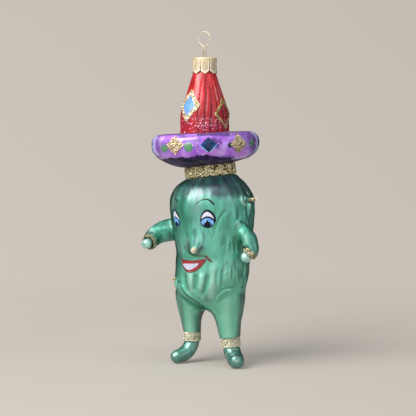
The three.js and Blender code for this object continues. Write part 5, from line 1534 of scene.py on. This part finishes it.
def build_wire():
    c = 0.47
    half = [
        (-3.4, 0.2, -26.5), (-2.75, 0.25, -21), (-1.8, 0.3, -15.5), (-1.3, 0.35, -12.3), (-0.85, c, -9.6),
        (0, c, -6.9), (1.55, 0.36, -5.95), (2.8, 0.2, -4.7), (3.2, 0.1, -3.0), (2.5, 0.03, -0.95),
    ]
    points = half + [(0, 0, 0.35)] + [(-x, -y, z) for x, y, z in reversed(half)]
    p, d = catmull(points, np.linspace(0, 1, 420))
    u = [unit(np.cross([0, 1, 0], d[0]))]
    for t in d[1:]:
        w = u[-1] - t * (u[-1] @ t)
        u.append(unit(w))
    u = np.array(u)
    v = np.cross(d, u)
    n = 18
    a = np.arange(n) / n * TAU
    r = np.full(len(p), 0.25)
    r[:3], r[-3:] = (0.14, 0.21, 0.24), (0.24, 0.21, 0.14)
    rows = p[:, None] + (u[:, None] * np.cos(a)[None, :, None] + v[:, None] * np.sin(a)[None, :, None]) * r[:, None, None]
    low = ease(rows[..., 2].ravel(), -7.2, -9.5)
    make("hanger_wire", tube(rows), WIRE, "hanger", nodes=["hanger_wire"], attrs={"shade": np.r_[0.7 * low, 0.7, 0.7]})


build_wire()


# ------------------------------------------------------------ floor and light
FLOOR_Z = -0.1627


def build_floor():
    rings = np.concatenate([np.linspace(0.0, 0.5, 30)[1:], [0.6, 0.8, 1.1, 1.5]])
    n = 96
    a = np.arange(n) / n * TAU
    v = [[0.004, 0, FLOOR_Z]] + [[r * math.cos(t), r * math.sin(t), FLOOR_Z] for r in rings for t in a]
    f = [[0, 1 + j, 1 + (j + 1) % n] for j in range(n)]
    for i in range(len(rings) - 1):
        for j in range(n):
            p0, p1 = 1 + i * n, 1 + (i + 1) * n
            f.append([p0 + j, p1 + j, p1 + (j + 1) % n, p0 + (j + 1) % n])
    me = bpy.data.meshes.new("floor")
    me.from_pydata(v, [], f)
    me.update()
    o = bpy.data.objects.new("floor", me)
    scene.collection.objects.link(o)
    k = Look("floor_paper")
    cloud = k.noise(k.place, 9, 4.0, 0.55)
    k.colour(k.ramp(cloud, (0.3, lin(155, 149, 141)), (0.7, lin(161, 155, 147))))
    k.b.inputs["Emission Color"].default_value = lin(206, 198, 189)
    k.b.inputs["Emission Strength"].default_value = 0.24
    k.bump(k.noise(k.place, 900, 4.0, 0.6), 0.05, 0.0002)
    k.set(Roughness=0.9)
    k.b.inputs["Specular IOR Level"].default_value = 0.2
    out = [x for x in k.t.nodes if x.type == "OUTPUT_MATERIAL"][0]
    clear = k.node("ShaderNodeBsdfTransparent")
    mixer = k.node("ShaderNodeMixShader")
    far = k.node("ShaderNodeVectorMath", operation="LENGTH")
    k.link(k.place, far.inputs[0])
    fade = k.node("ShaderNodeMapRange", interpolation_type="SMOOTHERSTEP")
    for key, x in zip(("From Min", "From Max", "To Min", "To Max"), (0.15, 0.42, 0.0, 1.0)):
        fade.inputs[key].default_value = x
    k.link(far.outputs["Value"], fade.inputs["Value"])
    k.link(fade.outputs[0], mixer.inputs[0])
    k.link(k.b.outputs[0], mixer.inputs[1])
    k.link(clear.outputs[0], mixer.inputs[2])
    k.link(mixer.outputs[0], out.inputs[0])
    me.materials.append(k.m)


build_floor()


def build_world():
    w = bpy.data.worlds.new("studio")
    scene.world = w
    w.use_nodes = True
    t = w.node_tree
    t.nodes.clear()
    out = t.nodes.new("ShaderNodeOutputWorld")
    seen, lit = t.nodes.new("ShaderNodeBackground"), t.nodes.new("ShaderNodeBackground")
    mixer, path = t.nodes.new("ShaderNodeMixShader"), t.nodes.new("ShaderNodeLightPath")
    coord, split = t.nodes.new("ShaderNodeTexCoord"), t.nodes.new("ShaderNodeSeparateXYZ")
    t.links.new(coord.outputs["Generated"], split.inputs[0])
    wall = t.nodes.new("ShaderNodeValToRGB")
    wall.color_ramp.elements[0].position, wall.color_ramp.elements[1].position = 0.3, 0.7
    wall.color_ramp.elements[0].color = lin(205, 197, 188)
    wall.color_ramp.elements[1].color = lin(198, 190, 181)
    remap = t.nodes.new("ShaderNodeMapRange")
    for key, x in zip(("From Min", "From Max", "To Min", "To Max"), (-0.35, 0.35, 0.0, 1.0)):
        remap.inputs[key].default_value = x
    t.links.new(split.outputs["Z"], remap.inputs["Value"])
    t.links.new(remap.outputs[0], wall.inputs[0])
    across = t.nodes.new("ShaderNodeVectorMath")
    across.operation = "DOT_PRODUCT"
    t.links.new(coord.outputs["Generated"], across.inputs[0])
    across.inputs[1].default_value = tuple(RIGHT)
    dim = t.nodes.new("ShaderNodeMapRange")
    for key, x in zip(("From Min", "From Max", "To Min", "To Max"), (-0.14, 0.14, 1.02, 0.955)):
        dim.inputs[key].default_value = x
    t.links.new(across.outputs["Value"], dim.inputs["Value"])
    t.links.new(dim.outputs[0], seen.inputs["Strength"])
    t.links.new(wall.outputs[0], seen.inputs["Color"])
    # the room the glass mirrors: bright on the camera's side, dim behind and at the sides
    aim = t.nodes.new("ShaderNodeVectorMath")
    aim.operation = "DOT_PRODUCT"
    t.links.new(coord.outputs["Generated"], aim.inputs[0])
    aim.inputs[1].default_value = tuple(unit(TOWARD * 0.94 + np.array([0, 0, 0.34])))
    remap2 = t.nodes.new("ShaderNodeMapRange")
    for key, x in zip(("From Min", "From Max", "To Min", "To Max"), (-1.0, 1.0, 0.0, 1.0)):
        remap2.inputs[key].default_value = x
    t.links.new(aim.outputs["Value"], remap2.inputs["Value"])
    room = t.nodes.new("ShaderNodeValToRGB")
    e = room.color_ramp.elements
    e[0].position, e[1].position = 0.0, 1.0
    e[0].color, e[1].color = (0.07, 0.07, 0.07, 1), (0.62, 0.64, 0.66, 1)
    for at, c in ((0.38, (0.06, 0.065, 0.07, 1)), (0.55, (0.14, 0.15, 0.155, 1)), (0.78, (0.58, 0.6, 0.62, 1))):
        x = e.new(at)
        x.color = c
    t.links.new(remap2.outputs[0], room.inputs[0])
    t.links.new(room.outputs[0], lit.inputs["Color"])
    lit.inputs["Strength"].default_value = 1.0
    t.links.new(path.outputs["Is Camera Ray"], mixer.inputs[0])
    t.links.new(lit.outputs[0], mixer.inputs[1])
    t.links.new(seen.outputs[0], mixer.inputs[2])
    t.links.new(mixer.outputs[0], out.inputs[0])


build_world()


def softbox(name, side, up, distance, width, height, power, colour=(1, 1, 1), aim=(0.004, 0.0, -0.09)):
    """side: degrees to the right of the camera's direction, seen from the object."""
    s, e = math.radians(side), math.radians(up)
    d = (TOWARD * math.cos(s) + RIGHT * math.sin(s)) * math.cos(e) + np.array([0, 0, math.sin(e)])
    light = bpy.data.lights.new(name, "AREA")
    light.shape, light.size, light.size_y = "RECTANGLE", width, height
    light.energy, light.color = power, colour
    o = bpy.data.objects.new(name, light)
    scene.collection.objects.link(o)
    target = Vector(aim)
    o.location = target + Vector(d) * distance
    o.rotation_mode = "QUATERNION"
    o.rotation_quaternion = Vector(d).to_track_quat("Z", "Y")
    return o


softbox("key", -51, 42, 1.5, 1.05, 1.15, 32.0, (1.0, 0.985, 0.965))
softbox("fill", 50, 25, 1.4, 0.6, 0.8, 2.2, (0.95, 0.98, 1.0))
softbox("top", -10, 82, 1.3, 0.9, 0.9, 4.0)
